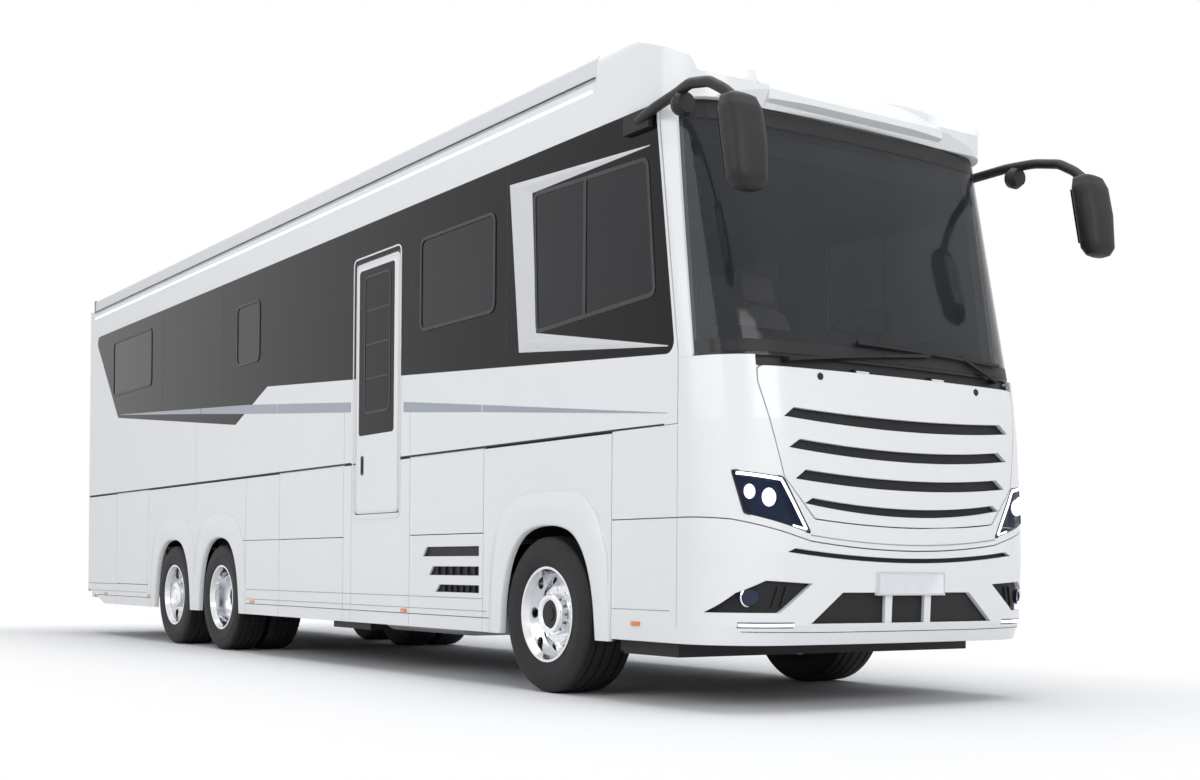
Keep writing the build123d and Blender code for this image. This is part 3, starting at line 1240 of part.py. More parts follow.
# Cab: dashboard with the steering wheel, two seats, and the bed that drops from the roof
DASH = [
    (-1800.0, 1960.0), (-1700.0, 2060.0), (-1330.0, 2190.0), (-1210.0, 2160.0), (-1230.0, 2060.0),
    (-1330.0, 1900.0), (-1400.0, FLOOR_TOP), (-1520.0, FLOOR_TOP), (-1520.0, 1900.0),
]
DASH_HALF = 1150.0
COLUMN_X = 620.0
WHEEL_CENTRE = (-880.0, 2330.0)
WHEEL_TILT = 32.0
WHEEL_RADIUS = 225.0
WHEEL_GRIP = 15.0
with BuildPart() as dashboard:
    with BuildSketch(Plane.YZ.offset(-DASH_HALF)) as profile:
        with BuildLine():
            Polyline(*at_stations(DASH), close=True)
        make_face()
    extrude(profile.sketch, amount=2 * DASH_HALF)
    add(nose_solid([(FLOOR_TOP - 1, -1700.0, 95.0, 350.0), (BAND_TOP, -1450.0, 95.0, 350.0)], -900.0, 60.0),
        mode=Mode.INTERSECT)
    wheel_plane = Plane(
        origin=(COLUMN_X, station(WHEEL_CENTRE[0]), WHEEL_CENTRE[1]), x_dir=(1, 0, 0),
        z_dir=(0, 0.53, 0.85),
    )
    with BuildSketch(wheel_plane) as spokes:
        Circle(60)
        Rectangle(2 * WHEEL_RADIUS, 36)
    extrude(spokes.sketch, amount=8, both=True)
    with BuildSketch(Plane(wheel_plane.origin, x_dir=(1, 0, 0), z_dir=wheel_plane.y_dir)) as grip:
        with Locations((WHEEL_RADIUS, 0)):
            Circle(WHEEL_GRIP)
    revolve(grip.sketch, axis=Axis(wheel_plane.origin, wheel_plane.z_dir))
    with BuildSketch(wheel_plane) as column:
        Circle(32)
    extrude(column.sketch, amount=-520)
    slab((COLUMN_X - 60, COLUMN_X + 60), (-1420.0, -1100.0), (1860.0, 2080.0))
finish(dashboard, "dashboard")

SEAT_X = 620.0
SEAT_STATION = -210.0
SEAT_WIDE = 520.0
SEAT_TOP = 2060.0
with BuildPart() as seat_frames:
    for side in SIDES.values():
        slab((side * SEAT_X - 190, side * SEAT_X + 190), (SEAT_STATION - 200, SEAT_STATION + 200),
             (FLOOR_TOP, FLOOR_TOP + 40))
        slab((side * SEAT_X - 130, side * SEAT_X + 130), (SEAT_STATION - 130, SEAT_STATION + 130),
             (FLOOR_TOP + 40, SEAT_TOP - 160))
        slab((side * SEAT_X - 230, side * SEAT_X + 230), (SEAT_STATION - 230, SEAT_STATION + 250),
             (SEAT_TOP - 160, SEAT_TOP - 120))
finish(seat_frames, "seat_frames")

BACK = [(190.0, SEAT_TOP - 40), (320.0, SEAT_TOP - 40), (390.0, 2620.0), (290.0, 2640.0)]
HEAD = [(265.0, 2650.0), (375.0, 2650.0), (385.0, 2860.0), (290.0, 2870.0)]
with BuildPart() as seat_pads:
    for side in SIDES.values():
        slab((side * SEAT_X - SEAT_WIDE / 2, side * SEAT_X + SEAT_WIDE / 2),
             (SEAT_STATION - 260, SEAT_STATION + 260), (SEAT_TOP - 120, SEAT_TOP))
        for outline_points, half in ((BACK, SEAT_WIDE / 2 - 10), (HEAD, 150.0)):
            with BuildSketch(Plane.YZ.offset(side * SEAT_X - half)) as pad:
                with BuildLine():
                    Polyline(*[(station(SEAT_STATION + y), z) for y, z in outline_points], close=True)
                make_face()
                fillet(pad.vertices(), 30)
            extrude(pad.sketch, amount=2 * half)
        slab((side * SEAT_X - 60, side * SEAT_X + 60), (SEAT_STATION + 300, SEAT_STATION + 350),
             (2600.0, 2700.0))
finish(seat_pads, "seat_pads")

BED = (-1150.0, 700.0, 3265.0, 3390.0)
with BuildPart() as cab_bed:
    slab((-(HALF_WIDTH - WALL), HALF_WIDTH - WALL), BED[:2], BED[2:])
finish(cab_bed, "cab_bed")
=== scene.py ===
import math

import bmesh
import bpy
import numpy as np
from mathutils import Matrix, Vector


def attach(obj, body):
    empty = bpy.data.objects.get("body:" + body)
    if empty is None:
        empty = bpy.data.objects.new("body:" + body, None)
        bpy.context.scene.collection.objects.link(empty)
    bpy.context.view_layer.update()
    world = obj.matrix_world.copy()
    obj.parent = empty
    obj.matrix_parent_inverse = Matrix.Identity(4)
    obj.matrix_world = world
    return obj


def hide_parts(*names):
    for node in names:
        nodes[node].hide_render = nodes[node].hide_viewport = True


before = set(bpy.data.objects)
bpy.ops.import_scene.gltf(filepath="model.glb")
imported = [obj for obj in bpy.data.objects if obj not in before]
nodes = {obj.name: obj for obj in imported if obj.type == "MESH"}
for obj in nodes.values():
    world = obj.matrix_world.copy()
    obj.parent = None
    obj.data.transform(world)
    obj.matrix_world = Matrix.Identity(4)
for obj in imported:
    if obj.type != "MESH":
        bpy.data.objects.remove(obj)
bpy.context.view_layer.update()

# Places that the looks share with the bodywork, in metres; stations are distances behind the datum line
DATUM_Y = -3.8725
HALF_WIDTH = 1.25
REAR_END = 9.985
LINING_FROM = 1.236
SIDES = {"right": -1.0, "left": 1.0}


def at(behind):
    """Y of a place given by its distance behind the datum line."""
    return DATUM_Y + behind


# Finishes: every one has a drift of tone, and most a drift of gloss too, that comes from the object's own
# coordinates

def new_finish(name):
    """A new material with its node tree and its shader."""
    finish = bpy.data.materials.new(name)
    finish.use_nodes = True
    tree = finish.node_tree
    shader = next(n for n in tree.nodes if n.type == "BSDF_PRINCIPLED")
    return finish, tree, shader


def object_coords(tree, scale=(1.0, 1.0, 1.0)):
    """The object's own coordinates, scaled."""
    coords = tree.nodes.new("ShaderNodeTexCoord")
    mapping = tree.nodes.new("ShaderNodeMapping")
    mapping.inputs["Scale"].default_value = scale
    tree.links.new(coords.outputs["Object"], mapping.inputs["Vector"])
    return mapping.outputs["Vector"]


def noise(tree, vector, scale, detail=3.0, rough=0.5):
    """Noise between 0 and 1 at a place."""
    texture = tree.nodes.new("ShaderNodeTexNoise")
    texture.inputs["Scale"].default_value = scale
    texture.inputs["Detail"].default_value = detail
    texture.inputs["Roughness"].default_value = rough
    tree.links.new(vector, texture.inputs["Vector"])
    return texture.outputs["Fac"]


def ramp(tree, value, stops):
    """A value turned into a colour by (place, colour) stops."""
    node = tree.nodes.new("ShaderNodeValToRGB")
    while len(node.color_ramp.elements) < len(stops):
        node.color_ramp.elements.new(0.5)
    for element, (place, colour) in zip(node.color_ramp.elements, stops):
        element.position = place
        element.color = (*colour, 1.0)
    tree.links.new(value, node.inputs["Fac"])
    return node.outputs["Color"]


def spread(tree, value, low, high, start=0.0, end=1.0):
    """A value carried from start..end to low..high."""
    node = tree.nodes.new("ShaderNodeMapRange")
    node.inputs["From Min"].default_value = start
    node.inputs["From Max"].default_value = end
    node.inputs["To Min"].default_value = low
    node.inputs["To Max"].default_value = high
    tree.links.new(value, node.inputs["Value"])
    return node.outputs["Result"]


def math_node(tree, operation, *values):
    """A Math node fed by sockets or plain numbers."""
    node = tree.nodes.new("ShaderNodeMath")
    node.operation = operation
    for socket, value in zip(node.inputs, values):
        if isinstance(value, (int, float)):
            socket.default_value = value
        else:
            tree.links.new(value, socket)
    return node.outputs["Value"]


def coordinate(tree, name):
    """One of the object's own coordinates."""
    split = tree.nodes.new("ShaderNodeSeparateXYZ")
    tree.links.new(object_coords(tree), split.inputs["Vector"])
    return split.outputs[name]


def mix_colours(tree, share, first, second):
    """Two colours, sockets or plain ones, mixed by a share of the second."""
    node = tree.nodes.new("ShaderNodeMix")
    node.data_type = "RGBA"
    tree.links.new(share, node.inputs["Factor"])
    for socket, colour in ((node.inputs[6], first), (node.inputs[7], second)):
        if isinstance(colour, tuple):
            socket.default_value = (*colour, 1.0)
        else:
            tree.links.new(colour, socket)
    return node.outputs[2]


def bump(tree, value, distance, strength=1.0, normal=None):
    """A normal tilted by the slope of a value."""
    node = tree.nodes.new("ShaderNodeBump")
    node.inputs["Strength"].default_value = strength
    node.inputs["Distance"].default_value = distance
    tree.links.new(value, node.inputs["Height"])
    if normal is not None:
        tree.links.new(normal, node.inputs["Normal"])
    return node.outputs["Normal"]


def lacquer(name, colour, rough=0.3, coat=0.3, drift=0.015, edge=0.0, metallic=0.0, lining=None,
            specular=0.5):
    """Smooth lacquered panel. edge softens its corners, and lining colours the wall's inner side."""
    finish, tree, shader = new_finish(name)
    vector = object_coords(tree)
    darker = tuple(max(c - drift, 0.0) for c in colour)
    tone = ramp(tree, noise(tree, vector, 0.9, 2.0), [(0.3, darker), (0.7, colour)])
    if lining:
        across = math_node(tree, "ABSOLUTE", coordinate(tree, "X"))
        outside = math_node(tree, "GREATER_THAN", across, LINING_FROM)
        tone = mix_colours(tree, outside, lining, tone)
    tree.links.new(tone, shader.inputs["Base Color"])
    tree.links.new(spread(tree, noise(tree, vector, 5.0), rough - 0.04, rough + 0.05),
                   shader.inputs["Roughness"])
    rounded = None
    if edge:
        soft = tree.nodes.new("ShaderNodeBevel")
        soft.samples = 4
        soft.inputs["Radius"].default_value = edge
        rounded = soft.outputs["Normal"]
    wave = bump(tree, noise(tree, vector, 1.6, 1.0), 0.004, 0.12, rounded)
    tree.links.new(wave, shader.inputs["Normal"])
    shader.inputs["Coat Weight"].default_value = coat
    shader.inputs["Coat Roughness"].default_value = 0.06
    shader.inputs["Metallic"].default_value = metallic
    shader.inputs["Specular IOR Level"].default_value = specular
    return finish


def plastic(name, colour, rough=0.5, grain=0.0006, scale=420.0):
    """Moulded plastic with a fine grain."""
    finish, tree, shader = new_finish(name)
    vector = object_coords(tree)
    lighter = tuple(min(c * 1.3 + 0.003, 1.0) for c in colour)
    tree.links.new(ramp(tree, noise(tree, vector, 3.0), [(0.35, colour), (0.75, lighter)]),
                   shader.inputs["Base Color"])
    tree.links.new(spread(tree, noise(tree, vector, 25.0), rough - 0.06, rough + 0.08),
                   shader.inputs["Roughness"])
    tree.links.new(bump(tree, noise(tree, vector, scale, 2.0), grain, 0.4), shader.inputs["Normal"])
    shader.inputs["Specular IOR Level"].default_value = 0.35
    return finish


def metal(name, colour, rough=0.2, streak=(1.0, 1.0, 1.0), drift=0.05):
    """Bare metal with fine streaks in its roughness."""
    finish, tree, shader = new_finish(name)
    vector = object_coords(tree, streak)
    darker = tuple(c * (1.0 - drift) for c in colour)
    tree.links.new(ramp(tree, noise(tree, vector, 8.0), [(0.3, darker), (0.7, colour)]),
                   shader.inputs["Base Color"])
    tree.links.new(spread(tree, noise(tree, vector, 90.0, 5.0), max(rough - 0.06, 0.02), rough + 0.08),
                   shader.inputs["Roughness"])
    shader.inputs["Metallic"].default_value = 1.0
    return finish


def pane(name, colour, alpha, rough=0.03, specular=0.5):
    """Tinted pane: dark, glossy and partly clear."""
    finish, tree, shader = new_finish(name)
    vector = object_coords(tree)
    lighter = tuple(min(c * 1.4 + 0.002, 1.0) for c in colour)
    tree.links.new(ramp(tree, noise(tree, vector, 1.2), [(0.3, colour), (0.7, lighter)]),
                   shader.inputs["Base Color"])
    tree.links.new(spread(tree, noise(tree, vector, 2.0), rough, rough + 0.02),
                   shader.inputs["Roughness"])
    shader.inputs["Specular IOR Level"].default_value = specular
    shader.inputs["Alpha"].default_value = alpha
    return finish


def glow(name, colour, strength):
    """A lit lamp, a little uneven along its length."""
    finish, tree, shader = new_finish(name)
    dimmer = tuple(c * 0.93 for c in colour)
    tone = ramp(tree, noise(tree, object_coords(tree), 7.0), [(0.35, dimmer), (0.6, colour)])
    tree.links.new(tone, shader.inputs["Base Color"])
    tree.links.new(tone, shader.inputs["Emission Color"])
    shader.inputs["Emission Strength"].default_value = strength
    return finish


WHITE = lacquer("white_lacquer", (0.79, 0.80, 0.81), edge=0.006)
WALL_WHITE = lacquer("wall_lacquer", (0.79, 0.80, 0.81), edge=0.004, lining=(0.10, 0.10, 0.10))
ROOF_WHITE = lacquer("roof_lacquer", (0.70, 0.71, 0.73), rough=0.4, edge=0.006)
BLACK_GLOSS = lacquer("black_band_lacquer", (0.005, 0.005, 0.006), rough=0.16, coat=0.0, drift=0.0,
                      specular=0.16)
BLACK_TRIM = plastic("black_trim", (0.010, 0.010, 0.011))
# The seam filler also colours the painted shade strip under the awning
SEAM_AND_SHADE = plastic("seam_filler_and_shade", (0.05, 0.05, 0.052), rough=0.7)
# The fine seam finish also colours the painted shadow lines along the lower side
FINE_SEAM_AND_SHADE = plastic("fine_seam_and_shade", (0.30, 0.30, 0.31), rough=0.7)
MESH_BLACK = plastic("mesh_black", (0.008, 0.008, 0.009), rough=0.6)
GASKET = plastic("window_gasket", (0.03, 0.031, 0.034), rough=0.4)
SILVER = lacquer("silver_trim", (0.62, 0.63, 0.65), rough=0.3, metallic=0.5)
STRIPE = lacquer("stripe_foil", (0.33, 0.36, 0.42), rough=0.35, metallic=0.4)
CHASSIS = lacquer("chassis_lacquer", (0.015, 0.015, 0.017), rough=0.45, coat=0.1)
CAST = plastic("cast_iron", (0.02, 0.02, 0.02), rough=0.7, grain=0.002, scale=60.0)
TANK = metal("tank_metal", (0.45, 0.46, 0.48), rough=0.3, streak=(1.0, 0.05, 1.0))
RIM = metal("polished_rim", (0.80, 0.81, 0.83), rough=0.12)
CHROME = metal("chrome_cap", (0.88, 0.89, 0.90), rough=0.06)
RUBBER = plastic("tyre_rubber", (0.011, 0.011, 0.012), rough=0.62, grain=0.001, scale=180.0)
SIDE_PANE = pane("side_pane", (0.006, 0.007, 0.009), 0.86, specular=0.3)
SCREEN = pane("windscreen_pane", (0.022, 0.025, 0.030), 0.50, specular=0.4)
LAMP_PANE = pane("lamp_pane", (0.02, 0.035, 0.10), 0.22)
LAMP_BOX = plastic("lamp_housing", (0.012, 0.018, 0.045), rough=0.3)
MIRROR_FACE = metal("mirror_face", (0.55, 0.58, 0.60), rough=0.04)
DAY_LIGHT = glow("day_light", (0.93, 0.96, 1.0), 2.2)
PROJECTOR = glow("projector_light", (0.80, 0.84, 1.0), 1.4)
ROOF_LIGHT = glow("roof_line_light", (1.0, 1.0, 1.0), 1.1)
BOARD = plastic("floor_board", (0.05, 0.05, 0.052), rough=0.6)
LEATHER = plastic("cream_leather", (0.68, 0.61, 0.50), rough=0.5, grain=0.002, scale=260.0)
DASH = plastic("dash_plastic", (0.012, 0.012, 0.014), rough=0.55)
LINING = plastic("lining_cloth", (0.20, 0.20, 0.195), rough=0.8, grain=0.001)
PLATE_FACE = plastic("plate_face", (0.72, 0.73, 0.76), rough=0.4, grain=0.0002)


def lens_finish():
    """Amber marker lenses along the sides, red lamps at the rear, told apart by their place."""
    finish, tree, shader = new_finish("lamp_lenses")
    far_back = math_node(tree, "GREATER_THAN", coordinate(tree, "Y"), at(REAR_END - 0.06))
    vector = object_coords(tree)
    amber = ramp(tree, noise(tree, vector, 60.0), [(0.35, (0.55, 0.13, 0.01)), (0.65, (0.85, 0.30, 0.03))])
    red = ramp(tree, noise(tree, vector, 50.0), [(0.35, (0.30, 0.008, 0.008)), (0.65, (0.55, 0.02, 0.02))])
    tree.links.new(mix_colours(tree, far_back, amber, red), shader.inputs["Base Color"])
    shader.inputs["Roughness"].default_value = 0.15
    shader.inputs["Coat Weight"].default_value = 0.8
    return finish


LENSES = lens_finish()

NODE_FINISH = {
    "band": BLACK_GLOSS, "side_glass": SIDE_PANE, "door_glass": BLACK_GLOSS, "windscreen": SCREEN,
    "headlamps": LAMP_PANE, "front_lamps": LAMP_BOX, "side_and_tail_lamps": LENSES,
    "bonnet_mesh": MESH_BLACK, "bumper_mesh": MESH_BLACK, "cowl": BLACK_TRIM, "pillars": WHITE,
    "window_frames": SILVER, "under_gear": BLACK_TRIM, "front_tray": BLACK_TRIM, "fuel_tank": TANK,
    "chassis_frame": CHASSIS, "front_carrier": CHASSIS, "engine_block": CHASSIS,
    "front_axle": CAST, "knuckle_left": CAST, "knuckle_right": CAST, "rear_axles": CAST,
    "front_springs": CAST, "floor": BOARD, "seat_pads": LEATHER, "seat_frames": DASH,
    "dashboard": DASH, "cab_bed": LINING, "roof": ROOF_WHITE, "awning": ROOF_WHITE,
    "wall_left": WALL_WHITE, "wall_right": WALL_WHITE, "mirrors": BLACK_TRIM,
    "skirt_left": WALL_WHITE, "skirt_right": WALL_WHITE,
}
for name, node in nodes.items():
    finish = NODE_FINISH.get(name, WHITE)
    if name.startswith("tyre_"):
        finish = RUBBER
    elif name.startswith("rim_"):
        finish = RIM
    node.data.materials.clear()
    node.data.materials.append(finish)


# Shapes: each is a pair of a point array and a list of faces, worked out as whole arrays

def lattice(rows, columns, wrap_rows=False, wrap_columns=False):
    """Quads of a grid whose points are numbered row by row."""
    row = np.arange(rows if wrap_rows else rows - 1)
    column = np.arange(columns if wrap_columns else columns - 1)
    a, b = (part.ravel() for part in np.meshgrid(row, column, indexing="ij"))
    a_next, b_next = (a + 1) % rows, (b + 1) % columns
    return np.stack([a * columns + b, a_next * columns + b, a_next * columns + b_next,
                     a * columns + b_next], 1)


def sheet_of(lines, wrap_rows=False, wrap_columns=False):
    """A surface through lines of points, an array of lines by points by three."""
    lines = np.asarray(lines, float)
    rows, columns = lines.shape[:2]
    return lines.reshape(-1, 3), lattice(rows, columns, wrap_rows, wrap_columns).tolist()


def unit(vectors):
    """The vectors divided by their lengths."""
    return vectors / np.linalg.norm(vectors, axis=-1, keepdims=True)


def sweep(path, section, up=(0.0, 0.0, 1.0), ring=False, size=None):
    """A closed section of (across, up) pairs carried along a path: each ring of points is the section set
    square to the path there. size scales each ring, and ring joins the path's ends."""
    path = np.asarray(path, float)
    section = np.asarray(section, float)
    if ring:
        along = np.roll(path, -1, 0) - np.roll(path, 1, 0)
    else:
        along = np.gradient(path, axis=0)
    along = unit(along)
    across = unit(np.cross(along, np.asarray(up, float)))
    above = np.cross(across, along)
    size = np.ones(len(path)) if size is None else np.asarray(size, float)
    points = (path[:, None] + size[:, None, None] * (section[None, :, :1] * across[:, None]
                                                     + section[None, :, 1:] * above[:, None]))
    vertices, faces = sheet_of(points, wrap_rows=ring, wrap_columns=True)
    if not ring:
        count, last = len(section), len(path) - 1
        faces += [list(range(count)), [last * count + k for k in range(count)][::-1]]
    return vertices, faces


def bar(width, height, low=0.0):
    """A rectangular section for sweep, its foot at the height low."""
    return [(-width / 2, low), (width / 2, low), (width / 2, low + height), (-width / 2, low + height)]


def round_section(radius, count=12):
    """A circle as (across, up) pairs: radius times cosine and sine."""
    turn = np.linspace(0, 2 * np.pi, count, endpoint=False)
    return np.stack([radius * np.cos(turn), radius * np.sin(turn)], 1)


# How a turned profile's own axes (two across, one along) are set out about each axis
AXIS_ORDER = {"X": [2, 0, 1], "Y": [0, 2, 1], "Z": [0, 1, 2]}


def turned(profile, centre, axis="X", count=32, swell=None):
    """A profile of (radius, along) pairs turned about an axis line: radius times the cosine and the sine of
    the turn. swell is added to the radii, one value for each point of the turn and of the profile."""
    radius, along = np.asarray(profile, float).T
    turn = np.linspace(0, 2 * np.pi, count, endpoint=False)[:, None]
    swelling = 0.0 * turn if swell is None else swell(turn, radius[None], along[None])
    radius = radius[None] + swelling
    along = np.broadcast_to(along, radius.shape)
    local = np.stack([radius * np.cos(turn), radius * np.sin(turn), along], 2)
    placed = local[:, :, AXIS_ORDER[axis]]
    return sheet_of(placed + np.asarray(centre, float), wrap_rows=True)


def join(shapes):
    """Several shapes as one."""
    vertices, faces, start = [], [], 0
    for points, quads in shapes:
        vertices.append(points)
        faces += [[index + start for index in face] for face in quads]
        start += len(points)
    return np.concatenate(vertices), faces


def piece(name, shape, finish, body="coach", closed=True, crisp=35.0, smooth=True):
    """Makes a mesh of a shape, merges its doubles, turns its faces outwards and lets it ride on a body."""
    mesh = bpy.data.meshes.new(name)
    mesh.from_pydata(shape[0].tolist(), [], shape[1])
    work = bmesh.new()
    work.from_mesh(mesh)
    bmesh.ops.remove_doubles(work, verts=work.verts, dist=1e-6)
    if closed:
        bmesh.ops.recalc_face_normals(work, faces=work.faces)
    work.to_mesh(mesh)
    work.free()
    mesh.materials.append(finish)
    mesh.polygons.foreach_set("use_smooth", [smooth] * len(mesh.polygons))
    if smooth:
        mesh.set_sharp_from_angle(angle=math.radians(crisp))
    made = bpy.data.objects.new(name, mesh)
    bpy.context.scene.collection.objects.link(made)
    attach(made, body)
    return made


def rounded(points, radius, count=6):
    """A closed outline with each corner replaced by a curve: a quadratic Bezier between points set back by
    the radius along both edges, or by less where an edge is short."""
    points = np.asarray(points, float)
    before, after = np.roll(points, 1, 0), np.roll(points, -1, 0)
    back, ahead = before - points, after - points
    reach_back, reach_ahead = np.linalg.norm(back, axis=1), np.linalg.norm(ahead, axis=1)
    radius = np.broadcast_to(np.asarray(radius, float), len(points))
    start = points + back * (np.minimum(radius, reach_back * 0.5) / reach_back)[:, None]
    end = points + ahead * (np.minimum(radius, reach_ahead * 0.5) / reach_ahead)[:, None]
    t = np.linspace(0, 1, count)[None, :, None]
    curve = (1 - t) ** 2 * start[:, None] + 2 * t * (1 - t) * points[:, None] + t ** 2 * end[:, None]
    return curve.reshape(-1, points.shape[1])


def open_rounded(points, radius, count=6):
    """An open path with its inner corners rounded."""
    points = np.asarray(points, float)
    inner = rounded(points, radius, count).reshape(len(points), count, -1)[1:-1]
    return np.concatenate([points[:1], inner.reshape(-1, points.shape[1]), points[-1:]])


def on_side(points, out=0.0, side=-1.0):
    """Places on a side of the body from (station, height) pairs, lifted off its skin by out."""
    points = np.asarray(points, float)
    out = np.broadcast_to(np.asarray(out, float), len(points))
    return np.stack([side * (HALF_WIDTH + out), at(points[:, 0]), points[:, 1]], 1)


def rectangle(front, rear, bottom, top):
    """The corners of an upright rectangle as (station, height) pairs."""
    return [(front, bottom), (rear, bottom), (rear, top), (front, top)]


def side_ring(points, width, height, radius=0.05, side=-1.0):
    """A flat bar round a closed outline on a side: its section carried along the rounded outline."""
    path = on_side(rounded(points, radius, 7), 0.0, side)
    return sweep(path, bar(width, height), up=(side, 0, 0), ring=True)


def side_bar(points, width, height, out=0.0, side=-1.0):
    """A flat bar on a side: its section carried along an open path of (station, height) pairs."""
    return sweep(on_side(points, out, side), bar(width, height), up=(side, 0, 0))


def two_sided(maker):
    """The same shapes on the right and on the left, made by a function of the side's sign."""
    return join([maker(side) for side in SIDES.values()])


def facing_out(lines, side):
    """A surface through lines, taken in the other order on the left side, so that it faces out on both."""
    return sheet_of(lines if side < 0 else lines[::-1])


# The long grey stripe, in runs that part at the door and at its joints
# columns: station, upper edge, lower edge
STRIPE_RUNS = [
    [(8.77, 2.450, 2.446), (6.20, 2.303, 2.250)],
    [(6.19, 2.302, 2.249), (5.00, 2.234, 2.153), (4.30, 2.182, 2.100)],
    [(4.29, 2.181, 2.099), (2.80, 2.066, 1.988)],
    [(1.90, 1.992, 1.916), (0.75, 1.872, 1.823)],
    [(0.74, 1.871, 1.822), (-1.33, 1.650, 1.646)],
]
STRIPE_OUT = 0.0008


def stripe_run(run, side):
    """A flat strip between the run's upper and lower edges, a little off the skin."""
    station, high, low = np.array(run).T
    edges = [on_side(np.stack([station, height], 1), STRIPE_OUT, side) for height in (high, low)]
    return facing_out(edges, side)


piece("side_stripe", two_sided(lambda side: join([stripe_run(run, side) for run in STRIPE_RUNS])), STRIPE,
      closed=False)

# Dark lines where the panels meet, laid in their grooves or thinly on the skin, and thin dark strips of
# painted shadow along the lower side
# columns: station, bottom, top
UPRIGHT_LINES = [
    (0.715, 0.36, 1.008), (1.788, 0.36, 1.008), (2.780, 0.36, 1.570), (2.927, 0.36, 1.008),
    (4.218, 0.36, 1.008), (5.000, 0.36, 1.570), (6.310, 1.26, 1.570), (7.769, 0.36, 0.578),
    (8.848, 0.36, 0.578),
]
SKIN_LINES = [(2.92, 1.60, 2.05), (1.79, 1.60, 1.98), (-1.424, 0.46, 1.57), (6.31, 1.60, 2.15)]
# columns: front station, rear station, height
LEVEL_LINES = [(4.223, 5.068, 1.013), (8.853, 9.938, 0.580), (0.482, 5.133, 0.448), (7.522, 9.598, 0.448)]
# The lines along the lower side are painted shadow: thin dark strips on the skin where shade lies
SKIRT_SHADE_LINES = [(0.72, 4.98, 0.575), (0.66, 4.98, 0.491), (7.80, 9.93, 0.500), (-1.36, -0.80, 0.548)]
CREASE_RUNS = [[(9.93, 1.588), (2.79, 1.588)], [(1.94, 1.588), (-1.00, 1.588), (-1.30, 1.586)]]
GROOVE_OUT, ON_SKIN = -0.0035, 0.0001
SEAM_WIDTH, SHADE_LINE_WIDTH, SKIN_LINE_WIDTH, CREASE_WIDTH = 0.0048, 0.005, 0.003, 0.011
SEAM_HEIGHT, CREASE_HEIGHT = 0.0005, 0.0012


def upright_seam(line, width, out, side):
    """A flat dark line up the side."""
    station, bottom, top = line
    return side_bar([(station, bottom), (station, top)], width, SEAM_HEIGHT, out, side)


def level_seam(line, width, out, side):
    """A flat dark line along the side."""
    front, rear, height = line
    return side_bar([(front, height), (rear, height)], width, SEAM_HEIGHT, out, side)


def panel_seams(side):
    """All the lines that lie in the grooves of one side."""
    return join([upright_seam(line, SEAM_WIDTH, GROOVE_OUT, side) for line in UPRIGHT_LINES]
                + [level_seam(line, SEAM_WIDTH, GROOVE_OUT, side) for line in LEVEL_LINES])


def trim_lines(side):
    """All the fine lines that lie on the skin of one side: joints up the side, and painted shadow lines along
    the lower side.
    """
    return join([level_seam(line, SHADE_LINE_WIDTH, ON_SKIN, side) for line in SKIRT_SHADE_LINES]
                + [upright_seam(line, SKIN_LINE_WIDTH, ON_SKIN, side) for line in SKIN_LINES])


def crease_line(side):
    """The dark strip above the locker flaps: flat bars along the crease's runs."""
    return join([side_bar(run, CREASE_WIDTH, CREASE_HEIGHT, 0.0, side) for run in CREASE_RUNS])


piece("panel_seams", two_sided(panel_seams), SEAM_AND_SHADE)
# Joints up the side, and painted shadow lines along the lower side
piece("trim_lines", two_sided(trim_lines), FINE_SEAM_AND_SHADE)
piece("crease_line", two_sided(crease_line), BLACK_TRIM)

# Wheel arch flares: an outline like the opening's, rounded, that rises from the skin and rolls inwards
# columns: front edge and rear edge at the foot, top, limits of the flare's stations
ARCHES = [(-0.640, 0.480, 1.055, -0.784, 0.640), (5.130, 6.195, 1.055, 4.985, 6.309),
          (6.425, 7.512, 1.050, 6.311, 7.660)]
SKIRT_FOOT = 0.355
ARCH_ROUNDING = 0.30
# The outline's corner points, as distances behind its front or rear foot and below its top
ARCH_SHARE = np.array([0.0, 0.035, 0.14, 0.33, -0.33, -0.12, -0.022, 0.0])
ARCH_DROP = np.array([0.0, 0.40, 0.15, 0.0, 0.0, 0.15, 0.40, 0.0])
# columns: margin, rise, height off the skin
FLARE_LINES = [(0.150, 0.210, -0.002), (0.132, 0.192, 0.0145), (0.060, 0.090, 0.0175), (0.012, 0.016, 0.0150),
               (0.000, 0.000, 0.0110), (-0.006, -0.008, 0.0020), (-0.006, -0.008, -0.036)]


def arch_curve(front, rear, top, margin, rise):
    """The arch's outline from its front foot over the crown to its rear foot: the opening's corner points
    moved out by margin and rise, with rounded corners."""
    start, end, crown = front - margin, rear + margin, top + rise
    stations = np.where(np.arange(8) < 4, start, end) + ARCH_SHARE
    heights = crown - ARCH_DROP
    heights[[0, -1]] = SKIRT_FOOT
    return open_rounded(np.stack([stations, heights], 1), ARCH_ROUNDING, 8)


def flare(arch, side):
    """A surface through the arch's outlines at growing and shrinking margins, each at its own height."""
    front, rear, top, low_limit, high_limit = arch
    lines = []
    for margin, rise, out in FLARE_LINES:
        curve = arch_curve(front, rear, top, margin, rise)
        curve[:, 0] = np.clip(curve[:, 0], low_limit, high_limit)
        lines.append(on_side(curve, out, side))
    return facing_out(lines, side)


piece("arch_flares", two_sided(lambda side: join([flare(arch, side) for arch in ARCHES])), WHITE,
      closed=False, crisp=50.0)

# Side windows: dark rounded rims, and the bar between the cab window's two panes
# columns: front station, rear station, bottom, top
WINDOWS = [(0.590, 1.635, 2.480, 3.130), (4.710, 5.250, 2.610, 3.140), (7.710, 9.030, 2.680, 3.270)]
CAB_WINDOW = [(0.097, 3.150), (-1.120, 3.113), (-1.200, 2.333), (0.054, 2.273)]
CAB_DIVIDER = [(-0.485, 2.305), (-0.485, 3.135)]
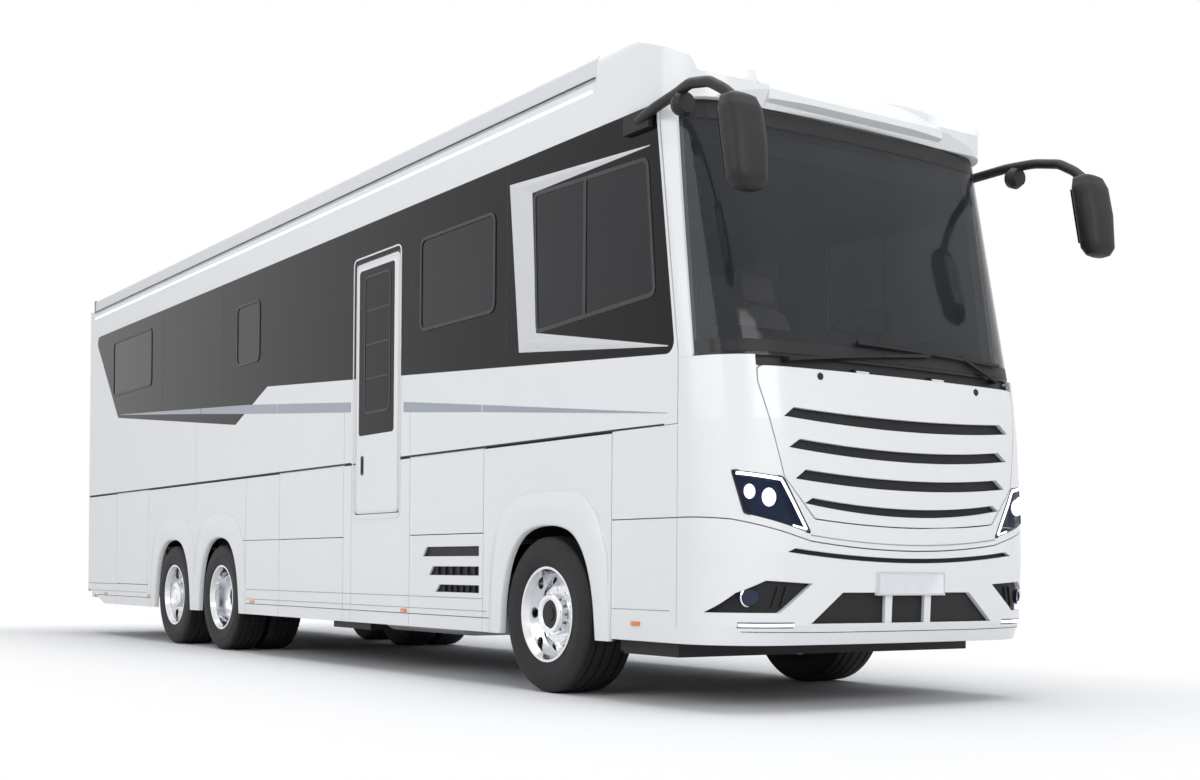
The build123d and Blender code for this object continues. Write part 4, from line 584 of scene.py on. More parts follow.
# columns: width, height
WINDOW_RIM, CAB_RIM, DIVIDER_BAR = (0.022, 0.007), (0.026, 0.004), (0.030, 0.005)
WINDOW_CORNER, CAB_CORNER = 0.07, 0.05


def window_rims(side):
    """The rims of one side's windows."""
    rings = [side_ring(rectangle(*window), *WINDOW_RIM, WINDOW_CORNER, side) for window in WINDOWS]
    rings.append(side_ring(CAB_WINDOW, *CAB_RIM, CAB_CORNER, side))
    rings.append(side_bar(CAB_DIVIDER, *DIVIDER_BAR, 0.0, side))
    return join(rings)


piece("window_rims", two_sided(window_rims), GASKET)

# Joints of the black band
# columns: station, bottom, top
BAND_SEAMS = [(0.43, 2.20, 3.40), (1.78, 2.22, 3.40), (3.55, 2.30, 3.40), (5.62, 2.12, 3.40),
              (7.35, 2.30, 3.40)]
BAND_SEAM_WIDTH = 0.004


def band_seams(side):
    """Flat upright lines over the joints of one side's band."""
    return join([upright_seam(line, BAND_SEAM_WIDTH, ON_SKIN, side) for line in BAND_SEAMS])


piece("band_seams", two_sided(band_seams), GASKET)

# Pale frame round each cab window: two facets that meet on a ridge, in one open C
# columns: station and height of the outer edge, of the ridge and of the inner edge
FRAME_LINES = [
    ((-1.143, 3.187), (-1.143, 3.184), (-1.143, 3.181)),
    ((0.405, 3.273), (0.270, 3.225), (0.125, 3.166)),
    ((0.274, 2.167), (0.170, 2.218), (0.066, 2.268)),
    ((-1.330, 2.020), (-1.330, 2.023), (-1.330, 2.026)),
]
RIDGE_OUT, EDGE_OUT, TIP_OUT = 0.0155, 0.0002, 0.0004


def cab_frame(side):
    """A surface through the outer edge, the ridge and the inner edge, which lie low at the tips."""
    lines = []
    for column, out in enumerate((EDGE_OUT, RIDGE_OUT, EDGE_OUT)):
        corners = np.array([row[column] for row in FRAME_LINES])
        lines.append(on_side(corners, np.array([TIP_OUT, out, out, TIP_OUT]), side))
    return facing_out(lines, -side)


cab_frames = piece("cab_window_frames", two_sided(cab_frame), SILVER, closed=False, crisp=5.0)
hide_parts("window_frames")

# Entry door: bright lines round its frame and on its leaf, the inner pane's rim and rungs, and the handle
# columns: front station, rear station, bottom, top
DOOR_FRAME, DOOR_LEAF = (1.948, 2.752, 1.150, 3.160), (1.990, 2.700, 1.205, 3.100)
DOOR_PANE, HANDLE_DISH = (2.130, 2.560, 1.960, 3.000), (2.572, 2.608, 1.490, 1.630)
RUNG_ENDS, RUNG_HEIGHTS = (2.150, 2.540), (2.22, 2.48, 2.74)
HANDLE_STATION = 2.590
# columns: height, distance off the skin
HANDLE_GRIP = [(1.500, -0.012), (1.520, -0.003), (1.600, -0.003), (1.620, -0.012)]


def door_pane_rim():
    """A flat bar round the pane, and flat rungs across it."""
    rungs = [side_bar([(end, height) for end in RUNG_ENDS], 0.012, 0.002) for height in RUNG_HEIGHTS]
    return join([side_ring(rectangle(*DOOR_PANE), 0.016, 0.003, 0.06), *rungs])


def door_handle():
    """A ring round the handle's dish, and a grip that bows out of it."""
    height, out = np.array(HANDLE_GRIP).T
    grip = on_side(np.stack([np.full(len(height), HANDLE_STATION), height], 1), out)
    return join([side_ring(rectangle(*HANDLE_DISH), 0.008, 0.004, 0.015),
                 sweep(grip, bar(0.016, 0.006), up=(-1, 0, 0))])


piece("door_surround", side_ring(rectangle(*DOOR_FRAME), 0.012, 0.006, 0.06), WHITE)
piece("door_edge", side_ring(rectangle(*DOOR_LEAF), 0.010, 0.003, 0.05), WHITE, body="entry_door")
piece("door_pane_rim", door_pane_rim(), GASKET, body="entry_door")
piece("door_handle", door_handle(), BLACK_TRIM, body="entry_door")

# Lit line under the roof's edge, a dark strip of painted shade in the awning's shadow gap, and the awning's
# end joint
ROOF_LINE, AWNING_GAP = [(9.77, 3.640), (-0.55, 3.640)], [(9.81, 3.716), (-0.58, 3.716)]
AWNING_END = [(9.786, 3.785), (9.826, 3.785)]
AWNING_IN, AWNING_WIDTH, AWNING_TALL, AWNING_LOW = 0.066, 0.126, 0.128, -0.062
piece("roof_light_line", two_sided(lambda side: side_bar(ROOF_LINE, 0.014, 0.004, 0.0, side)), ROOF_LIGHT)
# A dark bar flat on the skin: painted shade under the awning
piece("awning_shadow", side_bar(AWNING_GAP, 0.010, 0.002), SEAM_AND_SHADE)
awning_section = bar(AWNING_WIDTH, AWNING_TALL, AWNING_LOW)
piece("awning_ends", sweep(on_side(AWNING_END, -AWNING_IN), awning_section), FINE_SEAM_AND_SHADE)

# Vents behind the front wheel: dark floors, with fins in the lower two
# columns: front station, rear station, bottom, top, fins
VENTS = [(0.771, 1.580, 0.860, 0.927, 0), (0.771, 1.482, 0.728, 0.790, 6), (0.767, 1.383, 0.611, 0.663, 6)]
VENT_SLANT, VENT_IN = 0.055, 0.021
FIN_WIDTH, FIN_DEPTH = 0.012, 0.016


def vent(opening, side):
    """A flat floor with a slanted rear end, and upright fins spread evenly over it."""
    front, rear, bottom, top, fins = opening
    floor = [on_side([(front + 0.002, bottom + 0.002), (rear - 0.003, bottom + 0.002)], -VENT_IN, side),
             on_side([(front + 0.002, top - 0.002), (rear - VENT_SLANT, top - 0.002)], -VENT_IN, side)]
    shapes = [facing_out(floor, -side)]
    for station in np.linspace(front + 0.07, rear - 0.12, fins):
        fin = [(station, bottom + 0.003), (station, top - 0.003)]
        shapes.append(side_bar(fin, FIN_WIDTH, FIN_DEPTH, -VENT_IN, side))
    return join(shapes)


piece("vent_floors", two_sided(lambda side: join([vent(opening, side) for opening in VENTS])), BLACK_TRIM,
      closed=False)

# Tyres: a turned section with four grooves round the tread, and cross blocks on the driven ones' shoulders
TYRE_RADIUS = 0.492
TYRE_FACE = 1.235
TWIN_SPACING = 0.335
# columns: name, axle station, tyre width, tyres, distance of the disc's face from the middle, blocks
AXLES = [("front", -0.040, 0.375, 1, 1.120, 0), ("drive", 5.670, 0.300, 2, 1.030, 60),
         ("tag", 6.990, 0.375, 1, 1.120, 0)]
# columns: share of the half width, radius
SIDEWALL = [(0.905, 0.296), (0.925, 0.306), (0.945, 0.322), (0.955, 0.330), (0.962, 0.331), (0.968, 0.345),
            (0.990, 0.366), (1.000, 0.385), (0.992, 0.408), (0.985, 0.410), (0.985, 0.418), (0.972, 0.438),
            (0.955, 0.456), (0.925, 0.472), (0.880, 0.482)]
BEAD_SHARE, BEAD_RADIUS = 0.89, 0.292
TREAD_RADIUS, TREAD_CROWN = 0.4915, 0.004
SHOULDER_SHARE, SHOULDER_RADIUS = 0.84, 0.487
GROOVES = np.array([-0.56, -0.19, 0.19, 0.56])
GROOVE_HALF, GROOVE_SLANT, GROOVE_DEPTH = 0.032, 0.004, 0.012
NOTCH_SHARE, NOTCH_DEPTH, NOTCH_FOOT = 0.3, 0.010, 0.470
SMOOTH_STEPS, BLOCK_STEPS = 128, 4


def tread_profile(half):
    """(radius, along) of the tread between the shoulders: a crown that falls with the square of the share of
    the half width, with four grooves that have slanted walls."""
    across, radii = [-SHOULDER_SHARE], [SHOULDER_RADIUS]
    for groove in GROOVES:
        for step, depth in ((-GROOVE_HALF - GROOVE_SLANT, 0), (-GROOVE_HALF + GROOVE_SLANT, 1),
                            (GROOVE_HALF - GROOVE_SLANT, 1), (GROOVE_HALF + GROOVE_SLANT, 0)):
            share = groove + step
            across.append(share)
            radii.append(TREAD_RADIUS - TREAD_CROWN * share ** 2 - depth * GROOVE_DEPTH)
    across.append(SHOULDER_SHARE)
    radii.append(SHOULDER_RADIUS)
    return np.stack([np.array(radii), np.array(across) * half], 1)


def tyre_profile(width):
    """(radius, along) round a tyre's section: sidewall, tread, the other sidewall and the beads."""
    half = width / 2
    share, radius = np.array(SIDEWALL).T
    right = np.stack([radius, share * half], 1)
    left = np.stack([radius, -share * half], 1)
    beads = np.array([(BEAD_RADIUS, BEAD_SHARE * half), (BEAD_RADIUS, -BEAD_SHARE * half)])
    return np.concatenate([left, tread_profile(half), right[::-1], beads])


def cross_blocks(blocks):
    """Notches cut across the shoulders: the radius drops for a share of each pitch."""
    def swell(turn, radius, along):
        notch = (np.mod(turn * blocks / (2 * np.pi), 1.0) < NOTCH_SHARE) & (radius > NOTCH_FOOT)
        return np.where(notch, -NOTCH_DEPTH, 0.0)
    return swell if blocks else None


def tyres(axle_row, side):
    """One tyre, or two side by side, at an end of an axle."""
    name, behind, width, count, face, blocks = axle_row
    shapes = []
    for n in range(count):
        centre = (side * (TYRE_FACE - width / 2 - n * TWIN_SPACING), at(behind), TYRE_RADIUS)
        steps = blocks * BLOCK_STEPS or SMOOTH_STEPS
        shapes.append(turned(tyre_profile(width), centre, "X", steps, cross_blocks(blocks)))
    return join(shapes)


for axle_row in AXLES:
    for side_name, side in SIDES.items():
        wheel = f"{axle_row[0]}_{side_name}"
        tyre = piece(f"tread_{wheel}", tyres(axle_row, side), RUBBER, body=f"wheel_{wheel}", crisp=28.0)
        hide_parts(f"tyre_{wheel}")

# Wheel dressing: nuts on their circle, a bright ring round the hub and its dark or domed middle
NUTS = 10
NUT_CIRCLE = 0.1575
HUB_NOSE, NOSE_GAP = 0.075, 0.0002
# columns of the profiles: radius, distance outwards
NUT_PROFILE = [(0.0, 0.0), (0.0175, 0.0), (0.0175, 0.012), (0.0125, 0.014), (0.0120, 0.028), (0.0085, 0.033),
               (0.0, 0.034)]
OPEN_RING = [(0.086, 0.0), (0.124, 0.0), (0.126, 0.006), (0.120, 0.014), (0.104, 0.016), (0.094, 0.012),
             (0.086, 0.002)]
OPEN_FLOOR = [(0.0, 0.0005), (0.088, 0.0005), (0.088, 0.0015), (0.045, 0.0020), (0.044, 0.008), (0.0, 0.009)]
TAG_CAP = [(0.118, 0.0), (0.126, 0.002), (0.124, 0.016), (0.108, 0.026), (0.082, 0.028), (0.078, 0.018),
           (0.060, 0.016), (0.056, 0.028), (0.0, 0.032)]


def outward(profile, side):
    """A profile whose distances run outwards on its side."""
    return [(radius, side * along) for radius, along in profile]


def ring_of_nuts(face, behind, side):
    """A turned nut at each of the evenly spaced places on the circle."""
    turns = np.arange(NUTS) * 2 * np.pi / NUTS + np.pi / NUTS
    ys, zs = at(behind) + NUT_CIRCLE * np.cos(turns), TYRE_RADIUS + NUT_CIRCLE * np.sin(turns)
    return join([turned(outward(NUT_PROFILE, side), (side * face, y, z), "X", 12) for y, z in zip(ys, zs)])


def dress_wheel(axle, face, behind, side_name, side):
    """Adds a wheel's nuts, and either a domed cap or a ring round a dark floor on its hub."""
    wheel = f"{axle}_{side_name}"
    body = f"wheel_{wheel}"
    nose = (side * (face + HUB_NOSE + NOSE_GAP), at(behind), TYRE_RADIUS)
    piece(f"nuts_{wheel}", ring_of_nuts(face, behind, side), CHROME, body=body)
    if axle == "tag":
        cap = turned(outward(TAG_CAP, side), nose, "X", 48)
        piece(f"hub_{wheel}", cap, CHROME, body=body, closed=False)
        return
    ring, floor = (turned(outward(profile, side), nose, "X", steps)
                   for profile, steps in ((OPEN_RING, 48), (OPEN_FLOOR, 32)))
    piece(f"hub_ring_{wheel}", ring, CHROME, body=body)
    piece(f"hub_floor_{wheel}", floor, BLACK_TRIM, body=body, closed=False)


for axle, behind, width, count, face, blocks in AXLES:
    for side_name, side in SIDES.items():
        dress_wheel(axle, face, behind, side_name, side)


# Nose: places on its bowed surface, which the lamps, strips and trims lie on
# columns: height, station of the front, bow at the middle, corner radius
NOSE_SECTIONS = np.array([(0.370, -1.905, 0.090, 0.42), (0.480, -1.958, 0.090, 0.43),
                          (0.880, -1.975, 0.090, 0.44), (1.300, -1.962, 0.090, 0.45),
                          (1.600, -1.942, 0.090, 0.45), (1.945, -1.895, 0.090, 0.45)])
GLASS_SECTIONS = np.array([(1.945, -1.886, 0.095, 0.45), (3.410, -1.519, 0.095, 0.33)])
GLASS_IN = 0.012


def nose_station(x, z, sections=NOSE_SECTIONS, inset=0.0):
    """Station of the nose at a distance across and a height. Level sections are an arc of bow b over the half
    width h, radius (h^2 + b^2) / 2b, which runs into corner arcs of radius r."""
    x, z = np.abs(np.asarray(x, float)), np.asarray(z, float)
    front, bow, corner = (np.interp(z, sections[:, 0], sections[:, k]) for k in (1, 2, 3))
    half, front, corner = HALF_WIDTH - inset, front + inset, corner - inset
    arc = (half ** 2 + bow ** 2) / (2 * bow)
    centre = half - corner
    meet = centre * arc / (arc - corner)
    corner_middle = front + arc - np.sqrt((arc - corner) ** 2 - centre ** 2)
    middle = front + arc - np.sqrt(np.maximum(arc ** 2 - x ** 2, 0))
    side = corner_middle - np.sqrt(np.maximum(corner ** 2 - (x - centre) ** 2, 0))
    return np.where(x < meet, middle, side)


def on_nose(points, out=0.0, side=1.0):
    """Places on the nose from (across, height) pairs, moved ahead of its skin by out."""
    points = np.asarray(points, float)
    stations = nose_station(points[:, 0], points[:, 1], NOSE_SECTIONS, -np.asarray(out, float))
    return np.stack([side * points[:, 0], at(stations), points[:, 1]], 1)


def finely(points, count=14):
    """An open outline with further points between its corners."""
    points = np.asarray(points, float)
    share = np.linspace(0, len(points) - 1, (len(points) - 1) * count + 1)
    return np.stack([np.interp(share, np.arange(len(points)), points[:, k]) for k in (0, 1)], 1)


def nose_bar(points, width, height, out=0.0, side=1.0, ring=False):
    """A flat bar on the nose: its section carried along an outline of (across, height) pairs."""
    path = on_nose(points if ring else finely(points), out, side)
    return sweep(path, bar(width, height), up=(0, -1, 0), ring=ring)


# Headlamps: on the clear pane a white line along the top and the inner edge, two projectors and a dark rim
LAMP = [(1.145, 1.317), (1.100, 1.082), (0.731, 0.979), (0.906, 1.281)]
LAMP_LINE, LAMP_LINE_WIDTH = [(1.128, 1.300), (0.918, 1.268), (0.760, 1.000)], 0.017
LAMP_TAIL, LAMP_TAIL_WIDTH = [(0.760, 1.000), (0.850, 1.022)], 0.010
LAMP_RIM_WIDTH, LAMP_RIM_HEIGHT, LAMP_CORNER = 0.008, 0.003, 0.02
ON_LAMP = 0.0006
# columns: across, height, radius
PROJECTORS = [(0.985, 1.170, 0.050), (1.075, 1.200, 0.040)]
PROJECTOR_OUT = 0.0005


def lamp_lines(side):
    """Flat bars on the lamp's pane: along its top and inner edge, and a short one along its foot."""
    return join([nose_bar(LAMP_LINE, LAMP_LINE_WIDTH, ON_LAMP, ON_LAMP, side),
                 nose_bar(LAMP_TAIL, LAMP_TAIL_WIDTH, ON_LAMP, ON_LAMP, side)])


def projectors(side):
    """Each is a low dome, turned about a line along the vehicle."""
    return join([turned([(0.0, -0.0028), (radius * 0.6, -0.0022), (radius, 0.0)],
                        (side * x, at(nose_station(x, z)) - PROJECTOR_OUT, z), "Y", 28)
                 for x, z, radius in PROJECTORS])


def lamp_rims(side):
    """A flat bar round the lamp's rounded outline."""
    return nose_bar(rounded(LAMP, LAMP_CORNER, 4), LAMP_RIM_WIDTH, LAMP_RIM_HEIGHT, 0.0, side, ring=True)


piece("lamp_light_lines", two_sided(lamp_lines), DAY_LIGHT)
piece("lamp_projectors", two_sided(projectors), PROJECTOR, closed=False)
piece("lamp_rims", two_sided(lamp_rims), BLACK_TRIM)

# A fine line across the chin, which rises with the square of the distance from the middle, and the lip's step
CHIN_HALF, CHIN_LOW, CHIN_RISE = 0.730, 0.925, 0.045
STEP_LINE = [(0.0, 0.440), (0.60, 0.440), (1.10, 0.446)]
chin_x = np.linspace(-CHIN_HALF, CHIN_HALF, 15)
chin_line = np.stack([chin_x, CHIN_LOW + CHIN_RISE * (chin_x / CHIN_HALF) ** 2], 1)
piece("chin_line", nose_bar(chin_line, 0.006, 0.002), FINE_SEAM_AND_SHADE)
piece("bumper_step", two_sided(lambda side: nose_bar(STEP_LINE, 0.005, 0.0008, 0.0, side)), SEAM_AND_SHADE)

# Fog lamps: a ring and a lens in the dark pocket, with fins beside them and a lit bar below
FOG_X, FOG_Z, FOG_IN = 1.066, 0.631, 0.045
# columns of the profiles: radius, distance backwards
FOG_RING = [(0.040, 0.0), (0.050, -0.004), (0.053, -0.014), (0.046, -0.018), (0.041, -0.012)]
FOG_LENS = [(0.0, -0.012), (0.022, -0.0105), (0.040, -0.004), (0.040, 0.004)]
FIN_FEET, FIN_LEAN, FIN_LOW, FIN_HIGH, FIN_IN = (0.90, 0.95), 0.035, 0.575, 0.690, 0.030
DAY_BAR, DAY_BAR_IN = [(0.826, 0.481), (1.114, 0.481)], 0.006


def fog_lamp(profile, side):
    """A profile turned about the fog lamp's line, which runs along the vehicle."""
    place = (side * FOG_X, at(nose_station(FOG_X, FOG_Z)) + FOG_IN, FOG_Z)
    return turned(profile, place, "Y", 36)


def fog_fins(side):
    """Leaning flat bars that stand in the fog lamp's pocket."""
    return join([nose_bar([(foot, FIN_LOW), (foot - FIN_LEAN, FIN_HIGH)], 0.010, 0.012, -FIN_IN, side)
                 for foot in FIN_FEET])


piece("fog_rings", two_sided(lambda side: fog_lamp(FOG_RING, side)), CHROME, closed=False)
piece("fog_lenses", two_sided(lambda side: fog_lamp(FOG_LENS, side)), LAMP_PANE, closed=False)
piece("fog_fins", two_sided(fog_fins), BLACK_TRIM)
piece("day_bars", two_sided(lambda side: nose_bar(DAY_BAR, 0.016, 0.004, -DAY_BAR_IN, side)), DAY_LIGHT)

# Blank plate in a bright frame
PLATE_HALF, PLATE_LOW, PLATE_HIGH, PLATE_FRONT = 0.265, 0.642, 0.774, -1.984
# columns: share of the half width, margin above and below
PLATE_FRAME_IN, PLATE_FACE_IN = (0.975, 0.006), (0.955, 0.012)


def plate_outline(share, margin):
    """The plate's corners as (across, height) pairs, drawn in by a share across and a margin up and down."""
    half, low, high = PLATE_HALF * share, PLATE_LOW + margin, PLATE_HIGH - margin
    return np.array([(-half, low), (half, low), (half, high), (-half, high)])


def on_plate(points, out=0.0):
    """Places on the plate's flat face, or ahead of it by out."""
    return np.stack([points[:, 0], np.full(len(points), at(PLATE_FRONT) - out), points[:, 1]], 1)


plate_line = on_plate(rounded(plate_outline(*PLATE_FRAME_IN), 0.012, 5))
plate_frame = sweep(plate_line, bar(0.008, 0.003), up=(0, -1, 0), ring=True)
piece("plate_frame", plate_frame, SILVER)
plate_face = on_plate(plate_outline(*PLATE_FACE_IN), 0.0006)
piece("plate_face", sheet_of([plate_face[:2], plate_face[[3, 2]]]), PLATE_FACE, closed=False)

# Dark print along the windscreen's lower and upper edges, and the washers' caps in the bonnet's top
# columns: bottom, top
PRINT_BANDS = [(1.965, 2.035), (3.300, 3.395)]
PRINT_HALF, PRINT_OUT = 1.235, 0.0015
WASHER_PLACES = [(-0.62, 1.845), (0.62, 1.845)]
# columns: radius, distance backwards
WASHER_CAP = [(0.0, -0.008), (0.016, -0.007), (0.022, 0.0)]


def glass_band(bottom, top):
    """A strip on the windscreen: its bowed level lines at three heights."""
    x = np.linspace(-PRINT_HALF, PRINT_HALF, 41)
    rows = [np.stack([x, at(nose_station(x, z, GLASS_SECTIONS, GLASS_IN - PRINT_OUT)), np.full(41, z)], 1)
            for z in np.linspace(bottom, top, 3)]
    return sheet_of(rows[::-1])


piece("screen_edge_print", join([glass_band(*band) for band in PRINT_BANDS]), BLACK_TRIM, closed=False)
piece("washer_caps", join([turned(WASHER_CAP, (x, at(nose_station(x, z)), z), "Y", 20)
                           for x, z in WASHER_PLACES]), BLACK_TRIM, body="bonnet", closed=False)

# Mirrors: smooth heads, bent arms and small round mirrors in place of the plain solids, and glass facing back
MIRROR_X = 1.381
# columns: height, station, half width across, half width along
HEAD_SECTIONS = np.array([(2.700, -2.168, 0.045, 0.028), (2.712, -2.168, 0.080, 0.050),
                          (2.755, -2.165, 0.110, 0.073), (2.960, -2.139, 0.120, 0.082),
                          (3.130, -2.105, 0.118, 0.080), (3.195, -2.088, 0.098, 0.064),
                          (3.212, -2.085, 0.060, 0.038)])
HEAD_ROWS, HEAD_STEPS = 25, 40
GLASS_LOW, GLASS_HIGH, GLASS_SHARE, GLASS_OUT = 2.79, 3.13, 0.72, 0.003
# columns: across, station, height
ARM_PLACES = [(1.262, -1.05, 3.338), (1.300, -1.25, 3.360), (1.330, -1.50, 3.374), (1.378, -1.680, 3.374),
              (1.392, -1.860, 3.335), (1.388, -1.980, 3.265), (1.381, -2.080, 3.180)]
ARM_RADIUS, ARM_STEPS = 0.030, 40
FOOT_ENDS, FOOT_Z = (-1.17, -0.92), 3.335
SMALL_MIRROR, SMALL_MIRROR_PLACE = [(0.0, -0.045), (0.055, -0.040), (0.070, 0.0), (0.055, 0.040),
                                    (0.0, 0.045)], (1.335, -1.56, 3.300)


def head_size(height):
    """Station and half widths of a mirror's head at some heights."""
    return (np.interp(height, HEAD_SECTIONS[:, 0], HEAD_SECTIONS[:, k]) for k in (1, 2, 3))


def mirror_head(side):
    """Rounded oblong sections stacked along the height: |x/a|^3 + |y/b|^3 = 1."""
    turn = np.linspace(0, 2 * np.pi, HEAD_STEPS, endpoint=False)
    across = np.sign(np.cos(turn)) * np.abs(np.cos(turn)) ** (2 / 3)
    along = np.sign(np.sin(turn)) * np.abs(np.sin(turn)) ** (2 / 3)
    rows = len(HEAD_SECTIONS)
    height = np.interp(np.linspace(0, 1, HEAD_ROWS), np.linspace(0, 1, rows), HEAD_SECTIONS[:, 0])
    behind, half_x, half_y = head_size(height)
    points = np.stack([side * MIRROR_X + side * half_x[:, None] * across,
                       at(behind)[:, None] + half_y[:, None] * along,
                       np.broadcast_to(height[:, None], (HEAD_ROWS, HEAD_STEPS))], 2)
    vertices, faces = sheet_of(points, wrap_columns=True)
    top = (HEAD_ROWS - 1) * HEAD_STEPS
    return vertices, faces + [list(range(HEAD_STEPS)), list(range(top, top + HEAD_STEPS))]


def mirror_glass(side):
    """A flat strip of upright lines just behind the head's rear face."""
    z = np.linspace(GLASS_LOW, GLASS_HIGH, 8)
    behind, half_x, half_y = head_size(z)
    rows = [np.stack([side * MIRROR_X + half_x * share, at(behind) + half_y * 0.99 + GLASS_OUT, z], 1)
            for share in np.linspace(-GLASS_SHARE, GLASS_SHARE, 4)]
    return sheet_of(rows)


def mirror_arm(side):
    """A round section along a bent path, which is smoothed by taking quarter, half and quarter shares of each
    three neighbours, with a flat foot on the body and a small round mirror below."""
    places = np.array([(side * x, at(y), z) for x, y, z in ARM_PLACES])
    share = np.linspace(0, len(places) - 1, ARM_STEPS)
    path = np.stack([np.interp(share, np.arange(len(places)), places[:, k]) for k in range(3)], 1)
    path[1:-1] = (path[:-2] + 2 * path[1:-1] + path[2:]) / 4
    foot = [(side * HALF_WIDTH, at(end), FOOT_Z) for end in FOOT_ENDS]
    x, behind, z = SMALL_MIRROR_PLACE
    return join([sweep(path, round_section(ARM_RADIUS, 16)),
                 sweep(foot, bar(0.11, 0.032), up=(side, 0, 0)),
                 turned(SMALL_MIRROR, (side * x, at(behind), z), "Y", 24)])


arms = piece("mirror_arms", two_sided(mirror_arm), BLACK_TRIM)
piece("mirror_heads", two_sided(mirror_head), BLACK_TRIM, crisp=60.0)
piece("mirror_glasses", two_sided(mirror_glass), MIRROR_FACE, closed=False)
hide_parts("mirrors")

# Roof cap: white lamps in its corner pockets
CAP_LAMP_ENDS, CAP_LAMP_STATION, CAP_LAMP_Z = (0.80, 1.11), -1.452, 3.618


def cap_lamps(side):
    """A flat bar across the roof cap's pocket."""
    path = [(side * x, at(CAP_LAMP_STATION), CAP_LAMP_Z) for x in np.linspace(*CAP_LAMP_ENDS, 8)]
    return sweep(path, bar(0.030, 0.004), up=(0, -1, 0))


piece("cap_lamps", two_sided(cap_lamps), DAY_LIGHT)

# Seats: a rounded, swollen cushion, back and head rest for each, covered in pale leather
SEAT_X = 0.62
# columns: station, height, half widths across, along and up, lean
SEAT_BLOCKS = [(-0.21, 2.000, (0.255, 0.255, 0.058), 0.0), (0.045, 2.325, (0.245, 0.062, 0.300), 0.18),
               (0.150, 2.760, (0.145, 0.045, 0.105), 0.18)]
SEAT_POWER, SEAT_ROWS, SEAT_STEPS = 4.0, 20, 32


def cushion(centre, half):
    """A rounded block: the superellipsoid |x/a|^p + |y/b|^p + |z/c|^p = 1."""
    rise = np.linspace(-np.pi / 2, np.pi / 2, SEAT_ROWS)[:, None]
    turn = np.linspace(0, 2 * np.pi, SEAT_STEPS, endpoint=False)[None]

    def powered(value):
        return np.sign(value) * np.abs(value) ** (2.0 / SEAT_POWER)
    x = powered(np.cos(rise)) * powered(np.cos(turn)) * half[0]
    y = powered(np.cos(rise)) * powered(np.sin(turn)) * half[1]
    z = powered(np.sin(rise)) * np.ones_like(turn) * half[2]
    return sheet_of(np.stack([x, y, z], 2) + np.asarray(centre, float), wrap_columns=True)


def seat(side):
    """Three rounded blocks, the upper two pushed back in proportion to the height over their middles."""
    blocks = []
    for behind, height, half, lean in SEAT_BLOCKS:
        points, faces = cushion((side * SEAT_X, at(behind), height), half)
        points[:, 1] += (points[:, 2] - height) * lean
        blocks.append((points, faces))
    return join(blocks)


for side_name, side in SIDES.items():
    pads = piece(f"seat_{side_name}", seat(side), LEATHER, crisp=60.0)
    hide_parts("seat_pads")


# Floor: pale under the vehicle, and as bright as the surroundings further away, so that no horizon shows
STAGE_REACH = 60.0
# Distances from a box round the wheels between which the floor turns plain white
FLOOR_BOX_HALF_LENGTH, WHITE_FROM, WHITE_TO = 6.0, 0.3, 2.6


def seeing_rays(tree):
    """1 for rays from the camera, off a gloss or through a pane, 0 for those that only shed light."""
    seen = tree.nodes.new("ShaderNodeLightPath")
    rays = math_node(tree, "MAXIMUM", seen.outputs["Is Camera Ray"], seen.outputs["Is Glossy Ray"])
    return math_node(tree, "MAXIMUM", rays, seen.outputs["Is Transmission Ray"])


def floor_finish():
    """Diffuse floor mixed with plain white by the distance from a box round the wheels."""
    finish, tree, shader = new_finish("stage_floor")
    vector = object_coords(tree)
    tones = [(0.3, (0.90, 0.90, 0.91)), (0.7, (0.92, 0.92, 0.93))]
    tree.links.new(ramp(tree, noise(tree, vector, 0.4), tones), shader.inputs["Base Color"])
    shader.inputs["Roughness"].default_value = 0.9
    shader.inputs["Specular IOR Level"].default_value = 0.05
    squares = []
    for axis, half in (("X", HALF_WIDTH), ("Y", FLOOR_BOX_HALF_LENGTH)):
        gap = math_node(tree, "SUBTRACT", math_node(tree, "ABSOLUTE", coordinate(tree, axis)), half)
        squares.append(math_node(tree, "POWER", math_node(tree, "MAXIMUM", gap, 0.0), 2.0))
    distance = math_node(tree, "SQRT", math_node(tree, "ADD", *squares))
    share = spread(tree, distance, 0.0, 1.0, WHITE_FROM, WHITE_TO)
    white = tree.nodes.new("ShaderNodeEmission")
    white.inputs["Strength"].default_value = 1.0
    mixed = tree.nodes.new("ShaderNodeMixShader")
    tree.links.new(math_node(tree, "MULTIPLY", share, seeing_rays(tree)), mixed.inputs["Fac"])
    tree.links.new(shader.outputs["BSDF"], mixed.inputs[1])
    tree.links.new(white.outputs["Emission"], mixed.inputs[2])
    output = next(n for n in tree.nodes if n.type == "OUTPUT_MATERIAL")
    tree.links.new(mixed.outputs["Shader"], output.inputs["Surface"])
    return finish


def add_stage():
    mesh = bpy.data.meshes.new("stage")
    corners = [(x * STAGE_REACH, y * STAGE_REACH, 0) for x, y in ((-1, -1), (1, -1), (1, 1), (-1, 1))]
    mesh.from_pydata(corners, [], [(0, 1, 2, 3)])
    mesh.materials.append(floor_finish())
    stage = bpy.data.objects.new("stage", mesh)
    bpy.context.scene.collection.objects.link(stage)


add_stage()


